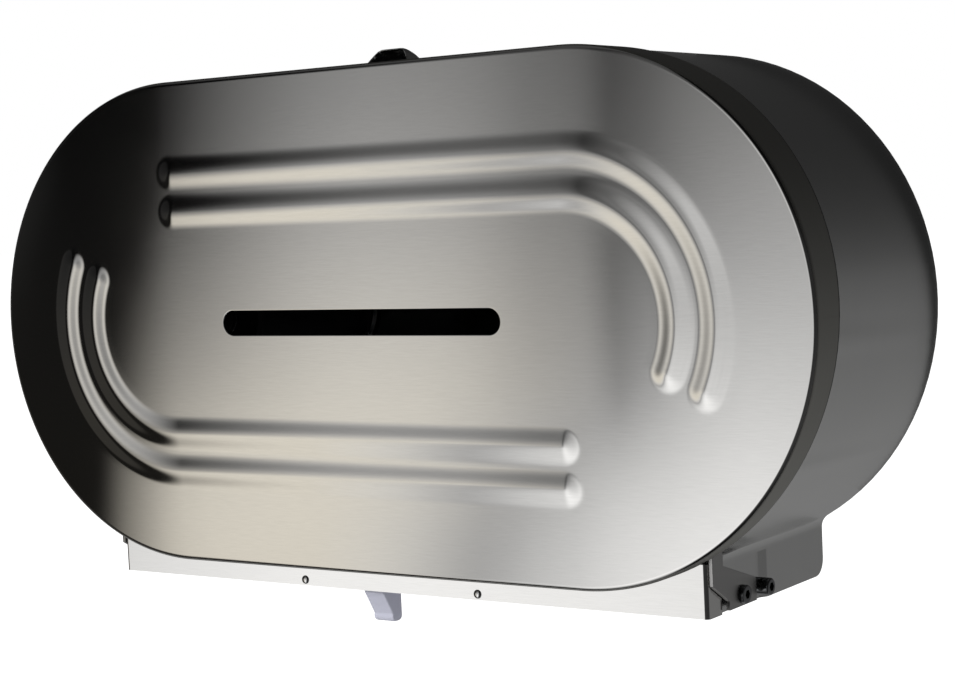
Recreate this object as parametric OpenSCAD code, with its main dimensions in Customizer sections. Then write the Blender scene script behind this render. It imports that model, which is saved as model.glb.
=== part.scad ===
// Jumbo toilet roll dispenser for two rolls side by side, hung on a wall.
// Millimetres. X runs to the right, Z up, and the wall is the plane Y = 0 with the front at -Y.
// The origin is the middle of the four wall holes, level with the middle of the round ends.

/* [Overall] */
// Width of the front cover
cover_w = 530; // [500:1:580]
// Height of the front cover, twice the radius of its round ends
cover_h = 270; // [260:1:290]
// Distance from the wall to the flat of the front cover
depth = 145; // [138:1:165]

/* [Front cover] */
// Thickness of the cover sheet
cover_t = 1.2; // [0.9:0.1:1.6]
// Outside radius of the bend between the face and the rim
cover_bend = 3; // [2:0.5:5]
// Depth of the rim at mid height
rim_depth = 25; // [24:0.5:28]
// Lean of the rim's rear edge, which makes the rim deeper at the top
rim_lean = 4.6; // [4:0.1:5]

/* [Pressed ribs] */
// Width of each rib where it leaves the face
rib_w = 15; // [11:0.5:17]
// Height of each rib above the face
rib_h = 3; // [2:0.25:4]
// Distance of the outer rib from the middle line
rib_outer = 85; // [80:0.5:90]
// Distance of the inner rib from the middle line
rib_inner = 63.5; // [58:0.5:66]
// Angle by which each rib runs on past the end of the middle line
rib_tail = 24; // [10:1:35]

/* [Viewing slot] */
// Length of the viewing slot
slot_l = 184; // [140:1:200]
// Height of the viewing slot
slot_h = 13.5; // [10:0.5:18]

/* [Housing] */
// How much smaller the housing's outline is than the cover's, all round
housing_inset = 1; // [0.5:0.25:2]
// Thickness of the housing sheets
sheet_t = 1.2; // [1:0.1:1.6]
// How far each side wall stands in from the end of the cover
leg_inset = 70.5; // [65:0.5:80]
// Height of each side wall below the hollow bend
leg_h = 25.3; // [24:0.1:34]
// Radius of the hollow bend from the round end to the side wall
leg_bend = 8; // [6:0.5:12]
// Radius of the side wall's lower rear corner
heel_r = 9; // [6:0.5:14]
// Gap between the housing's front edge and the cover's rim
seam_gap = 1; // [0.6:0.1:2]

/* [Wall holes] */
// Distance between the wall holes across
wall_hole_dx = 200; // [160:5:220]
// Distance between the wall holes up and down
wall_hole_dz = 160; // [120:5:180]
// Diameter of the wall holes
wall_hole_d = 6.5; // [5:0.5:8]

/* [Front rail] */
// Distance of the front rail's face behind the cover's face
rail_setback = 15.5; // [15.5:0.1:17]
// Thickness of the rail sheet
rail_t = 1.5; // [1.2:0.1:2]
// Height of the rail
rail_h = 27; // [20:0.5:27]
// Outside radius of the bend at the rail's two ends
rail_bend = 2.5; // [2:0.25:4]
// Length of the rail's side ear
ear_l = 13.7; // [10:0.1:14]
// Height of the ear at its rear end
ear_rear_h = 9.3; // [7:0.1:10]
// Height of the ear at the rail
ear_front_h = 15.8; // [13:0.1:16]
// Height of the rivets above the rail's bottom edge
rivet_up = 3.2; // [3:0.1:4]
// Distance between the two rail rivets
rivet_dx = 116; // [110:1:130]
// Diameter of a rail rivet's dome
rivet_d = 4.8; // [4:0.1:5]

/* [Hinge] */
// Distance of the pivot behind the cover's face
pivot_back = 46.6; // [44:0.1:48]
// Height of the pivot above the housing's bottom edge
pivot_up = 7.3; // [7:0.1:8]
// Swing of the cover from shut to its stops
cover_swing = 68; // [60:1:70]
// Thickness of a hinge arm
arm_t = 2; // [1.5:0.1:2.5]
// Gap between a hinge arm and the side wall's outer face
arm_gap = 0.6; // [0.5:0.1:1.2]
// Width of the arm's neck
neck_w = 11; // [9:0.5:12]
// Distance of the arm's slanting lower edge from the pivot
edge_reach = 8.3; // [7.5:0.1:9]
// Slant of the arm's lower edge, which comes to rest on the stop screw
edge_slant = 31.6; // [28:0.2:34]
// Length of the arm's heel behind the pivot
arm_heel = 15; // [12:0.2:15.4]
// Depth to which the side wall is pressed in behind each arm
pocket_d = 2.5; // [1.5:0.1:3]
// Diameter of the pivot screw's shoulder
shoulder_d = 6; // [5:0.5:7]
// Diameter of the pivot screw's head
pivot_head_d = 9.5; // [9:0.5:11]
// Height of the pivot screw's head
pivot_head_h = 2.4; // [1.5:0.1:4]
// Diameter of the stop screw's round head
stop_d = 9; // [7:0.5:10]
// Height of the stop screw's head above the pressed-in wall
stop_h = 10; // [8:0.5:12]

/* [Bottom and shutter] */
// Width of each paper exit
exit_w = 90; // [70:1:95]
// Width of the strip of sheet in front of the two exits
exit_strip = 5; // [4:0.5:16]
// Width of the strip between the two exits
exit_mid = 24; // [20:1:40]
// Spacing of the tear teeth
tooth_pitch = 5; // [3:0.5:8]
// Height of the tear teeth
tooth_h = 2.5; // [1.5:0.25:4]
// Thickness of the shutter plate
shutter_t = 3.5; // [3.5:0.1:4]
// Width of the shutter's finger tab
tab_w = 13.4; // [10:0.2:16]
// Length of the finger tab from front to back
tab_l = 16.3; // [14:0.1:18]
// Depth of the finger tab below the rail
tab_drop = 19; // [14:0.5:19]
// How far the finger tab's front face slants back down to its foot
tab_slant = 8.8; // [6:0.1:9.5]
// How far left of the middle the finger tab stands
tab_left = 13.2; // [0:0.2:20]

/* [Spindles and hubs] */
// Diameter of a spindle
spindle_d = 12; // [8:0.5:16]
// Diameter of a spindle's foot
foot_d = 64; // [50:1:80]
// Outer diameter of a hub
hub_d = 54; // [44:1:56]
// Length of a hub
hub_l = 97; // [80:1:98]
// Wall of a hub's outer sleeve
hub_wall = 2.5; // [2:0.25:4]
// Diameter of a hub's rear flange
hub_flange_d = 66; // [58:1:80]

/* [Lock] */
// Width of the lock hood across its flat top
hood_top_w = 16; // [12:0.5:22]
// Width of the lock hood at its foot
hood_foot_w = 50; // [44:0.5:60]
// Height of the lock hood above the housing
hood_h = 11; // [9:0.5:14]
// Length of the lock hood from front to back
hood_l = 18; // [16:0.5:24]
// Width of the lock bolt
bolt_w = 16; // [12:0.5:18]
// Thickness of the lock bolt
bolt_t = 4; // [3:0.25:5]
// Travel of the lock bolt
bolt_travel = 14; // [12:0.5:14]

/* [Clearances] */
// Radial clearance of a turning fit
run_gap = 0.06; // [0.03:0.01:0.1]
// Gap between a sliding piece and its guide
slide_gap = 0.3; // [0.2:0.05:0.5]

/* [Hidden] */

steel = "#b9b8b6";
dark_steel = "#8a8b8c";
plastic = "#c9cad6";
black_plastic = "#2c2d30";
zinc = "#a8abb0";
far = 400;
round_fn = 96;
small_fn = 32;
weld_gap = 0.1;
foot_sink = 0.5;
slot_cut = 10;

// The round ends, the cover and the seam
end_r = cover_h / 2;
end_x = cover_w / 2 - end_r;
face_in = depth - cover_t;
lean = tan(rim_lean);
function seam_z(y) = depth - rim_depth - lean * y;

// The housing's shell and its side walls
house_r = end_r - housing_inset;
top_in = house_r - sheet_t;
leg_half = cover_w / 2 - leg_inset;
leg_in = leg_half - sheet_t;
bend_x = leg_half + leg_bend;
bend_y = -sqrt(pow(house_r + leg_bend, 2) - pow(bend_x - end_x, 2));
bend_a = atan2(bend_y, bend_x - end_x);
bend_run = 0.6;
slit_y = bend_y - bend_run;
leg_lap = bend_run / 2;
leg_drop = leg_h - bend_y;
pocket_out = leg_half - pocket_d;
pocket_in = pocket_out - sheet_t;
panel_rise = 10;
back_drop = leg_drop - heel_r - panel_rise;

// The front rail, the rivets that hold the panel to it, and the panel
rail_z = depth - rail_setback;
rail_in = rail_z - rail_t;
ear_z = rail_z - ear_l;
flange_in = rail_in - sheet_t;
flange_top = ear_rear_h - leg_drop;
rivet_y = rivet_up - leg_drop;
rivet_shank_d = 3.2;
rivet_tail_d = 3.6;
rivet_tail_h = 1.5;
panel_gap = 0.5;
panel_half = pocket_in - panel_gap;
panel_top = sheet_t - leg_drop;

// The hinge arms, their screws and the stops
pivot_z = depth - pivot_back;
pivot_y = pivot_up - leg_drop;
pocket_set = 2.8;
pocket_front = ear_z - pocket_set;
arm_in = leg_half + arm_gap;
arm_out = arm_in + arm_t;
rim_low_y = -sqrt(pow(end_r - cover_t, 2) - pow(arm_out - end_x, 2));
neck_gap = 0.4;
neck_front = seam_z(rim_low_y) - neck_gap;
neck_rear = neck_front - neck_w;
arm_tab_h = 20;
arm_top = rim_low_y + arm_tab_h;
arm_foot_up = 0.8;
arm_bottom = arm_foot_up - leg_drop;
heel_h = 7;
heel_bend = 3;
foot_reach = 14.2;
arm_flange_w = 32;
stop_slack = 0.3;
stop_turn = 90 + edge_slant - cover_swing;
stop_z = pivot_z - (edge_reach + stop_d / 2 + stop_slack) / cos(stop_turn);
stop_rim = 1;
ramp_l = 4.5;
ramp_z1 = stop_z - stop_d / 2 - stop_rim;
ramp_z0 = ramp_z1 - ramp_l;
screw_d = 5;
screw_gap = 0.2;
nut_af = 8;
nut_h = 4;
socket_af = 4;
socket_deep = 1.8;
bush_d = 8;
bush_flange_d = 12;

// The shutter, its guides and the paper exits
exit_x0 = exit_mid / 2;
exit_x1 = exit_x0 + exit_w;
guide_set = 1;
guide_z = heel_r + guide_set;
guide_t = 2;
guide_lip_t = 1;
guide_lip = 6;
front_lip = 10;
exit_edge = 0.5;
exit_z0 = guide_z + guide_t + guide_lip + exit_edge;
tab_gap = 0.5;
tab_front = flange_in - tab_gap;
tab_rear = tab_front - tab_l;
tab_foot = tab_front - tab_slant;
tab_corner = 3;
exit_l = tab_rear - tab_gap - exit_strip - exit_z0;
shutter_bottom = panel_top + slide_gap;
shutter_top = shutter_bottom + shutter_t;
tail_gap = 0.8;
shutter_front = flange_in - rivet_tail_h - tail_gap;
shutter_rear = guide_z + guide_t + slide_gap;
shutter_lap = 11;
shutter_half = exit_w / 2 + shutter_lap;
stop_x = (rivet_dx - rivet_tail_d) / 2 - slide_gap;
tab_travel = stop_x - tab_w / 2;
lip_y = shutter_top + slide_gap;
guide_run_on = 4;
guide_half = shutter_half + tab_travel + guide_run_on;

// The spindles and what is on them
foot_t = 2;
foot_margin = 8;
foot_pcd = foot_d - 2 * foot_margin;
foot_rivet_d = 4;
washer_t = 2;
washer_rim = 5;
washer_d = spindle_d + 2 * washer_rim;
tip_step = 2;
tip_d = spindle_d - 2 * tip_step;
tip_l = 10;
cap_wall = 5;
cap_d = tip_d + 2 * cap_wall;
cap_h = 9;
end_play = 0.8;
hub_z = sheet_t + foot_t + washer_t + end_play;
shoulder_z = hub_z + hub_l + end_play;
hub_bore_d = spindle_d + 2 * run_gap;
hub_core_t = 3;
hub_core_d = hub_bore_d + 2 * hub_core_t;
hub_web = 2;

// The lock
wrap_top_z = seam_z(house_r) - seam_gap;
hood_set = 0.5;
hood_z1 = wrap_top_z - hood_set;
hood_z0 = hood_z1 - hood_l;
lug_t = 1.5;
lug_w = 12;
lug_half = bolt_w / 2 + lug_w;
lug_rivet_x = bolt_w / 2 + 7;
lug_set = 5;
lug_rivet_z = hood_z0 - lug_set;
bolt_top = top_in - lug_t - slide_gap;
bolt_bottom = bolt_top - bolt_t;
bolt_l = 36;
bolt_set = 2.5;
bolt_front = wrap_top_z - bolt_set;
guide_wall = 1.5;
lock_guide_rear = 10;
lock_guide_front = 13;
lock_guide_z0 = lug_rivet_z - lock_guide_rear;
lock_guide_z1 = lug_rivet_z + lock_guide_front;
tang_w = 8;
tang_t = 2;
tang_set = 0.2;
tang_z = bolt_front - bolt_travel + tang_set;
tang_top = house_r + hood_h / 2;
strike_set = 3;
strike_z = seam_z(end_r) + strike_set;
strike_t = 2;
strike_l = 18;
strike_drop = 6;
strike_half = bolt_w / 2 + lug_w;
strike_gap = 0.8;

// Stands a shape that is drawn on the wall, with its height along the third axis, upright.
module on_wall() {
    rotate([90, 0, 0]) children();
}

// Makes a left and a right copy about the middle.
module both_sides() {
    children();
    mirror([1, 0, 0]) children();
}

// Runs an outline of [x, z] points up from y0 to y1.
module upright_run(y0, y1) {
    translate([0, y1, 0]) rotate([90, 0, 0]) linear_extrude(y1 - y0) children();
}

// Runs an outline of [y, z] points across from x0 to x1.
module cross_run(x0, x1) {
    translate([x0, 0, 0]) rotate([90, 0, 90]) linear_extrude(x1 - x0) children();
}

// Points of an arc, from angle a0 to a1 in n steps.
function arc(cx, cy, r, a0, a1, n = 6) =
    [for (i = [0 : n]) let (a = a0 + (a1 - a0) * i / n) [cx + r * cos(a), cy + r * sin(a)]];

// A block in front of the slanting seam between housing and cover, moved by the shift.
module before_seam(shift) {
    translate([0, 0, depth - rim_depth + shift]) rotate([-rim_lean, 0, 0])
        translate([-far, -far, 0]) cube([2 * far, 2 * far, far]);
}

// A block behind the same seam.
module behind_seam(shift) {
    translate([0, 0, depth - rim_depth + shift]) rotate([-rim_lean, 0, 0])
        translate([-far, -far, -far]) cube([2 * far, 2 * far, far]);
}

// The cover as a full rounded block, drawn in by the inset: two half turns and a straight run.
module cover_block(inset) {
    r = end_r - inset;
    top = depth - inset;
    b = cover_bend - inset;
    half = concat([[0, 0], [r, 0]], arc(r - b, top - b, b, 0, 90), [[0, top]]);
    both_sides() translate([end_x, 0, 0]) rotate([0, 0, -90])
        rotate_extrude(angle = 180, $fn = round_fn) polygon(half);
    rotate([90, 0, 90]) translate([0, 0, -end_x]) linear_extrude(2 * end_x)
        polygon(concat([[r, 0]], arc(r - b, top - b, b, 0, 90), arc(b - r, top - b, b, 90, 180), [[-r, 0]]));
}

// Section of a rib above the sheet's face: a low round crest, with its foot sunk below the face.
function rib_section(ball, rise, side) =
    let (a = asin((ball - rise) / ball), n = 4)
    side == 0
        ? concat([[ball * cos(a), -foot_sink]], arc(0, rise - ball, ball, a, 180 - a, n),
            [[-ball * cos(a), -foot_sink]])
        : concat([[0, -foot_sink], [ball * cos(a), -foot_sink]], arc(0, rise - ball, ball, a, 90, n / 2));

// One rib: a straight run, a bend round the end and two round tips, on a face at the given height.
module rib(reach, ball, face) {
    tip_a = [-end_x, reach];
    tip_b = [end_x + reach * cos(rib_tail), -reach * sin(rib_tail)];
    translate([0, 0, face]) {
        translate([-end_x, reach, 0]) rotate([90, 0, 90])
            linear_extrude(2 * end_x) polygon(rib_section(ball, rib_h, 0));
        translate([end_x, 0, 0]) rotate([0, 0, -rib_tail])
            rotate_extrude(angle = 90 + rib_tail, $fn = round_fn)
                translate([reach, 0]) polygon(rib_section(ball, rib_h, 0));
        translate(tip_a) rotate([0, 0, 90])
            rotate_extrude(angle = 180, $fn = small_fn) polygon(rib_section(ball, rib_h, 1));
        translate(tip_b) rotate([0, 0, 180 - rib_tail])
            rotate_extrude(angle = 180, $fn = small_fn) polygon(rib_section(ball, rib_h, 1));
    }
}

// Both pairs of ribs, each pair turned half round from the other.
module ribs(ball, face) {
    for (a = [0, 180])
        rotate([0, 0, a]) {
            rib(rib_outer, ball, face);
            rib(rib_inner, ball, face);
        }
}

module door_cover() {
    ball = (pow(rib_w / 2, 2) + pow(rib_h, 2)) / (2 * rib_h);
    color(steel) on_wall() difference() {
        union() {
            cover_block(0);
            ribs(ball, depth);
        }
        cover_block(cover_t);
        ribs(ball - cover_t, face_in);
        behind_seam(0);
        translate([(slot_h - slot_l) / 2, -slot_h / 2, depth - slot_cut])
            cube([slot_l - slot_h, slot_h, 2 * slot_cut]);
        for (s = [-1, 1])
            translate([s * (slot_l - slot_h) / 2, 0, depth - slot_cut])
                cylinder(h = 2 * slot_cut, d = slot_h, $fn = small_fn);
    }
}

// Half outline of the lock hood, from its foot up a smooth flank to its flat top.
function hood_side(foot, flat, rise) =
    [for (i = [0 : 8]) let (u = i / 8) [foot - (foot - flat) * u, house_r + rise * u * u * (3 - 2 * u)]];

// The lock hood as a full bump, drawn in by the inset.
module hood_block(inset, z0, z1) {
    side = hood_side(hood_foot_w / 2 - 2 * inset, hood_top_w / 2, hood_h - inset);
    low = inset == 0 ? house_r - sheet_t / 2 : house_r;
    left = [for (i = [8 : -1 : 0]) [-side[i][0], side[i][1]]];
    translate([0, 0, z0]) linear_extrude(z1 - z0)
        polygon(concat([[side[0][0], low]], side, left, [[-side[0][0], low]]));
}

// A point of the shell's right end at the given radius and angle.
function end_point(r, a) = [end_x + r * cos(a), r * sin(a)];

// Points i0 to i1, of eight, round the hollow bend from the round end to the side wall.
function hollow(r, i0, i1) =
    [for (i = [i0 : sign(i1 - i0) : i1]) let (a = 180 + bend_a * (1 - i / 8)) [bend_x + r * cos(a), bend_y + r * sin(a)]];

// One side of the shell: round end, hollow bend, and the side wall with its pressed-in pocket.
module wrap_side() {
    joggle = sheet_t / 2;
    translate([end_x, 0, 0]) mirror([1, 0, 0]) rotate([0, 0, 90])
        rotate_extrude(angle = 90 - bend_a, $fn = round_fn) translate([top_in, 0]) square([sheet_t, depth]);
    linear_extrude(depth) polygon(concat(
        [end_point(house_r - 0.15, bend_a + 0.6)], hollow(leg_bend, 1, 8), [[leg_half, slit_y], [leg_in, slit_y]],
        hollow(leg_bend + sheet_t, 8, 1), [end_point(top_in + 0.1, bend_a + 0.6)]));
    upright_run(-leg_drop, slit_y + leg_lap) polygon([
        [leg_half, 0], [leg_half, ramp_z0], [pocket_out, ramp_z1], [pocket_out, pocket_front],
        [pocket_in, pocket_front], [pocket_in, ramp_z1 - joggle], [leg_in, ramp_z0 - joggle], [leg_in, 0]]);
}

// What is cut from one side of the shell: the arm's notch, the rounded heel and the screw holes.
module wrap_side_cuts() {
    heel_y = heel_r - leg_drop;
    translate([leg_in - 1, -leg_drop, neck_rear - 1]) cube([arm_out + 1.5 - leg_in, leg_drop + arm_top, far]);
    cross_run(leg_in - 5, leg_half + 5)
        polygon(concat([[heel_y, -1], [-leg_drop - 1, -1], [-leg_drop - 1, heel_r]],
            arc(heel_y, heel_r, heel_r, 180, 270)));
    for (z = [pivot_z, stop_z])
        translate([pocket_in - 5, pivot_y, z]) rotate([0, 90, 0])
            cylinder(h = 15, d = screw_d + 2 * screw_gap, $fn = small_fn);
}

module body_wrap() {
    color(dark_steel) on_wall() difference() {
        union() {
            difference() {
                union() {
                    translate([-end_x, top_in, 0]) cube([2 * end_x, sheet_t, depth]);
                    both_sides() wrap_side();
                }
                before_seam(-seam_gap);
            }
            hood_block(0, hood_z0, hood_z1);
        }
        hood_block(sheet_t, hood_z0 + sheet_t, hood_z1 + 5);
        translate([-hood_top_w / 2, top_in - 1, hood_z0 + sheet_t]) cube([hood_top_w, sheet_t + 2, far]);
        both_sides() wrap_side_cuts();
        for (s = [-1, 1])
            translate([s * lug_rivet_x, top_in - 1, lug_rivet_z]) rotate([-90, 0, 0])
                cylinder(h = 5, d = rivet_shank_d + screw_gap, $fn = small_fn);
    }
}

module back_plate() {
    r = top_in - weld_gap;
    half = leg_in - weld_gap;
    color(dark_steel) on_wall() difference() {
        union() {
            both_sides() translate([end_x, 0, 0]) rotate([0, 0, -90])
                rotate_extrude(angle = 180, $fn = round_fn) square([r, sheet_t]);
            translate([-end_x, -r, 0]) cube([2 * end_x, 2 * r, sheet_t]);
            translate([-half, -back_drop, 0]) cube([2 * half, back_drop / 2, sheet_t]);
        }
        translate([-far, -far - back_drop, -1]) cube([2 * far, far, 10]);
        for (sx = [-1, 1], sy = [-1, 1])
            translate([sx * wall_hole_dx / 2, sy * wall_hole_dz / 2, -1])
                cylinder(h = 10, d = wall_hole_d, $fn = small_fn);
        foot_holes();
    }
}

// The eight rivet holes of the two spindle feet.
module foot_holes() {
    for (s = [-1, 1], a = [45 : 90 : 315])
        translate([s * end_x + foot_pcd / 2 * cos(a), foot_pcd / 2 * sin(a), -1])
            cylinder(h = 10, d = foot_rivet_d + screw_gap, $fn = small_fn);
}

// A paper exit's outline, with tear teeth on its outer side.
module exit_outline() {
    n = floor(exit_l / tooth_pitch);
    edge = (exit_l - n * tooth_pitch) / 2;
    z1 = exit_z0 + exit_l;
    teeth = [for (i = [0 : n - 1], half = [0, 1])
        [exit_x1 - half * tooth_h, exit_z0 + edge + (i + half / 2) * tooth_pitch]];
    polygon(concat([[exit_x0, exit_z0], [exit_x1, exit_z0]], teeth, [[exit_x1, z1 - edge], [exit_x1, z1],
        [exit_x0, z1]]));
}

module bottom_panel() {
    heel_y = heel_r - leg_drop;
    rear_top = -back_drop - weld_gap;
    profile = concat([[flange_top, rail_in], [-leg_drop, rail_in]],
        arc(heel_y, heel_r, heel_r, 180, 270), [[rear_top, 0], [rear_top, sheet_t]],
        arc(heel_y, heel_r, heel_r - sheet_t, 270, 180), [[panel_top, flange_in], [flange_top, flange_in]]);
    color(steel) on_wall() difference() {
        cross_run(-panel_half, panel_half) polygon(profile);
        both_sides() upright_run(-leg_drop - 1, panel_top + 1) exit_outline();
        translate([-stop_x - 1, -leg_drop - 1, tab_rear - tab_gap])
            cube([2 * stop_x + 2, sheet_t + 2, flange_in - tab_rear + tab_gap]);
        rivet_holes();
    }
}

// The holes of the two rail rivets.
module rivet_holes() {
    for (s = [-1, 1])
        translate([s * rivet_dx / 2, rivet_y, flange_in - 5])
            cylinder(h = 15, d = rivet_shank_d + screw_gap / 2, $fn = small_fn);
}

module front_rail() {
    x = leg_half - rail_bend;
    z = rail_z - rail_bend;
    r = rail_bend - rail_t;
    channel = concat([[leg_half, ear_z]], arc(x, z, rail_bend, 0, 90), arc(-x, z, rail_bend, 90, 180),
        [[-leg_half, ear_z], [rail_t - leg_half, ear_z]], arc(-x, z, r, 180, 90), arc(x, z, r, 90, 0),
        [[leg_half - rail_t, ear_z]]);
    ear_cut = [[ear_front_h - leg_drop, rail_in - 0.5], [ear_rear_h - leg_drop, ear_z - 1],
        [0, ear_z - 1], [0, rail_in - 0.5]];
    color(steel) on_wall() difference() {
        upright_run(-leg_drop, rail_h - leg_drop) polygon(channel);
        cross_run(-far, far) polygon(ear_cut);
        rivet_holes();
    }
}

// A rivet along the third axis: tail, shank and domed head seated at z1.
module rivet(tail_z, z1, shank, tail, tail_h, head, head_h) {
    dome = [for (a = [0 : 15 : 75]) [head / 2 * cos(a), z1 + head_h * sin(a)]];
    rotate_extrude($fn = small_fn) polygon(concat(
        [[0, tail_z], [tail / 2, tail_z], [tail / 2, tail_z + tail_h], [shank / 2, tail_z + tail_h],
            [shank / 2, z1]], dome, [[0, z1 + head_h]]));
}

module rail_rivets() {
    color(zinc) on_wall() for (s = [-1, 1])
        translate([s * rivet_dx / 2, rivet_y, 0])
            rivet(flange_in - rivet_tail_h, rail_z, rivet_shank_d, rivet_tail_d, rivet_tail_h, rivet_d, 1.1);
}

module shutter_guides() {
    top = lip_y + guide_lip_t;
    color(zinc) on_wall() {
        cross_run(-guide_half, guide_half) polygon([
            [panel_top, guide_z], [top, guide_z], [top, guide_z + guide_t + guide_lip],
            [lip_y, guide_z + guide_t + guide_lip], [lip_y, guide_z + guide_t],
            [panel_top, guide_z + guide_t]]);
        cross_run(-guide_half, guide_half) polygon([
            [lip_y, flange_in], [lip_y, flange_in - front_lip], [top, flange_in - front_lip],
            [top, flange_in - sheet_t], [flange_top, flange_in - sheet_t], [flange_top, flange_in]]);
    }
}

// A hexagonal socket cut along the third axis, down from z = 0.
module socket() {
    translate([0, 0, -socket_deep]) cylinder(h = socket_deep + 1, d = socket_af / cos(30), $fn = 6);
}

// Lays a screw along X at the given height behind the cover, its head to the right.
module screw_at(z) {
    both_sides() translate([0, pivot_y, z]) rotate([0, 90, 0]) children();
}

module pivot_screws() {
    seat = arm_out + 0.3;
    color(zinc) on_wall() screw_at(pivot_z) difference() {
        rotate_extrude($fn = small_fn * 2) polygon([
            [0, pocket_in - nut_h - 1], [screw_d / 2, pocket_in - nut_h - 1], [screw_d / 2, pocket_out],
            [shoulder_d / 2, pocket_out], [shoulder_d / 2, seat], [pivot_head_d / 2, seat],
            [pivot_head_d / 2, seat + pivot_head_h - 0.6], [pivot_head_d / 2 - 0.6, seat + pivot_head_h],
            [0, seat + pivot_head_h]]);
        translate([0, 0, seat + pivot_head_h]) socket();
    }
}

module stop_screws() {
    top = pocket_out + stop_h;
    color(zinc) on_wall() screw_at(stop_z) difference() {
        rotate_extrude($fn = small_fn * 2) polygon([
            [0, pocket_in - nut_h - 1], [screw_d / 2, pocket_in - nut_h - 1], [screw_d / 2, pocket_out],
            [stop_d / 2, pocket_out], [stop_d / 2, top - 0.8], [stop_d / 2 - 0.8, top], [0, top]]);
        translate([0, 0, top]) socket();
    }
}

// A hexagonal nut inside the pressed-in wall.
module nut() {
    translate([0, 0, pocket_in - nut_h]) difference() {
        cylinder(h = nut_h, d = nut_af / cos(30), $fn = 6);
        translate([0, 0, -1]) cylinder(h = nut_h + 2, d = screw_d + screw_gap, $fn = small_fn);
    }
}

module pivot_nuts() {
    color(zinc) on_wall() screw_at(pivot_z) nut();
}

module stop_nuts() {
    color(zinc) on_wall() screw_at(stop_z) nut();
}

// A point on the arm's slanting lower edge, so far in front of the pivot.
function edge_point(ahead) =
    let (s = (ahead - edge_reach * sin(edge_slant)) / cos(edge_slant))
    [pivot_y - edge_reach * cos(edge_slant) + s * sin(edge_slant), pivot_z + ahead];

module hinge_arm() {
    heel_z = pivot_z - arm_heel;
    r = heel_bend;
    heel_top = pivot_y + heel_h;
    plate = concat([edge_point(foot_reach), [arm_bottom, pivot_z + foot_reach], [arm_bottom, heel_z]],
        arc(heel_top - r, heel_z + r, r, 270, 360),
        [[bend_y - 0.5, neck_rear], [arm_top, neck_rear], [arm_top, face_in],
            [rim_low_y + 2.5, face_in], [rim_low_y + 0.5, face_in - 2], [rim_low_y + 0.5, neck_front],
            edge_point(neck_front - pivot_z)]);
    difference() {
        union() {
            cross_run(arm_in, arm_out) polygon(plate);
            translate([arm_out - arm_flange_w, rim_low_y + 2.5, face_in - arm_t])
                cube([arm_flange_w, arm_top - rim_low_y - 2.5, arm_t]);
        }
        translate([arm_in - 5, pivot_y, pivot_z]) rotate([0, 90, 0])
            cylinder(h = 15, d = bush_d + screw_gap / 2, $fn = small_fn);
    }
}

module hinge_arm_right() {
    color(steel) on_wall() hinge_arm();
}

module hinge_arm_left() {
    color(steel) on_wall() mirror([1, 0, 0]) hinge_arm();
}

module pivot_bushes() {
    x0 = pocket_out + 0.2;
    bore = shoulder_d / 2 + run_gap;
    color(black_plastic) on_wall() screw_at(pivot_z) rotate_extrude($fn = small_fn * 2) polygon([
        [bore, x0], [bush_flange_d / 2, x0], [bush_flange_d / 2, arm_in], [bush_d / 2, arm_in],
        [bush_d / 2, arm_out], [bore, arm_out]]);
}

module strike_plate() {
    inside = end_r - cover_t;
    low = bolt_bottom - strike_drop;
    color(zinc) on_wall() difference() {
        cross_run(-strike_half, strike_half) polygon([
            [low, strike_z], [inside, strike_z], [inside, strike_z + strike_l],
            [inside - strike_t, strike_z + strike_l], [inside - strike_t, strike_z + strike_t],
            [low, strike_z + strike_t]]);
        translate([-bolt_w / 2 - strike_gap, bolt_bottom - strike_gap, strike_z - 1])
            cube([bolt_w + 2 * strike_gap, bolt_t + 2 * strike_gap, strike_t + 2]);
    }
}

module lock_guide() {
    half = bolt_w / 2 + slide_gap;
    low = bolt_bottom - slide_gap;
    lug_y = top_in - lug_t;
    color(zinc) on_wall() difference() {
        translate([0, 0, lock_guide_z0]) linear_extrude(lock_guide_z1 - lock_guide_z0) polygon([
            [-lug_half, lug_y], [-half - guide_wall, lug_y], [-half - guide_wall, low - guide_wall],
            [half + guide_wall, low - guide_wall], [half + guide_wall, lug_y], [lug_half, lug_y],
            [lug_half, top_in], [-lug_half, top_in]]);
        translate([-half, low, lock_guide_z0 - 1]) cube([2 * half, lug_y - low, far]);
        translate([-tang_w / 2 - 1, lug_y - 1, tang_z - 1]) cube([tang_w + 2, lug_t + 2, far]);
        for (s = [-1, 1])
            translate([s * lug_rivet_x, lug_y - 1, lug_rivet_z]) rotate([-90, 0, 0])
                cylinder(h = 5, d = rivet_shank_d + screw_gap, $fn = small_fn);
    }
}

module lock_rivets() {
    color(zinc) on_wall() for (s = [-1, 1])
        translate([s * lug_rivet_x, 0, lug_rivet_z]) rotate([-90, 0, 0])
            rivet(top_in - lug_t - 1, house_r, rivet_shank_d, rivet_tail_d + 0.4, 1, rivet_d, 1);
}

module lock_bolt() {
    color(zinc) on_wall() {
        translate([-bolt_w / 2, bolt_bottom, bolt_front - bolt_l]) cube([bolt_w, bolt_t, bolt_l]);
        translate([-tang_w / 2, bolt_bottom, tang_z]) cube([tang_w, tang_top - bolt_bottom, tang_t]);
    }
}

module spindle() {
    difference() {
        rotate_extrude($fn = round_fn) polygon([
            [0, sheet_t], [foot_d / 2, sheet_t], [foot_d / 2, sheet_t + foot_t],
            [spindle_d / 2, sheet_t + foot_t], [spindle_d / 2, shoulder_z], [tip_d / 2, shoulder_z],
            [tip_d / 2, shoulder_z + tip_l], [0, shoulder_z + tip_l]]);
        translate([-end_x, 0, 0]) foot_holes();
    }
}

module spindle_right() {
    color(zinc) on_wall() translate([end_x, 0, 0]) spindle();
}

module spindle_left() {
    color(zinc) on_wall() translate([-end_x, 0, 0]) mirror([1, 0, 0]) spindle();
}

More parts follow.
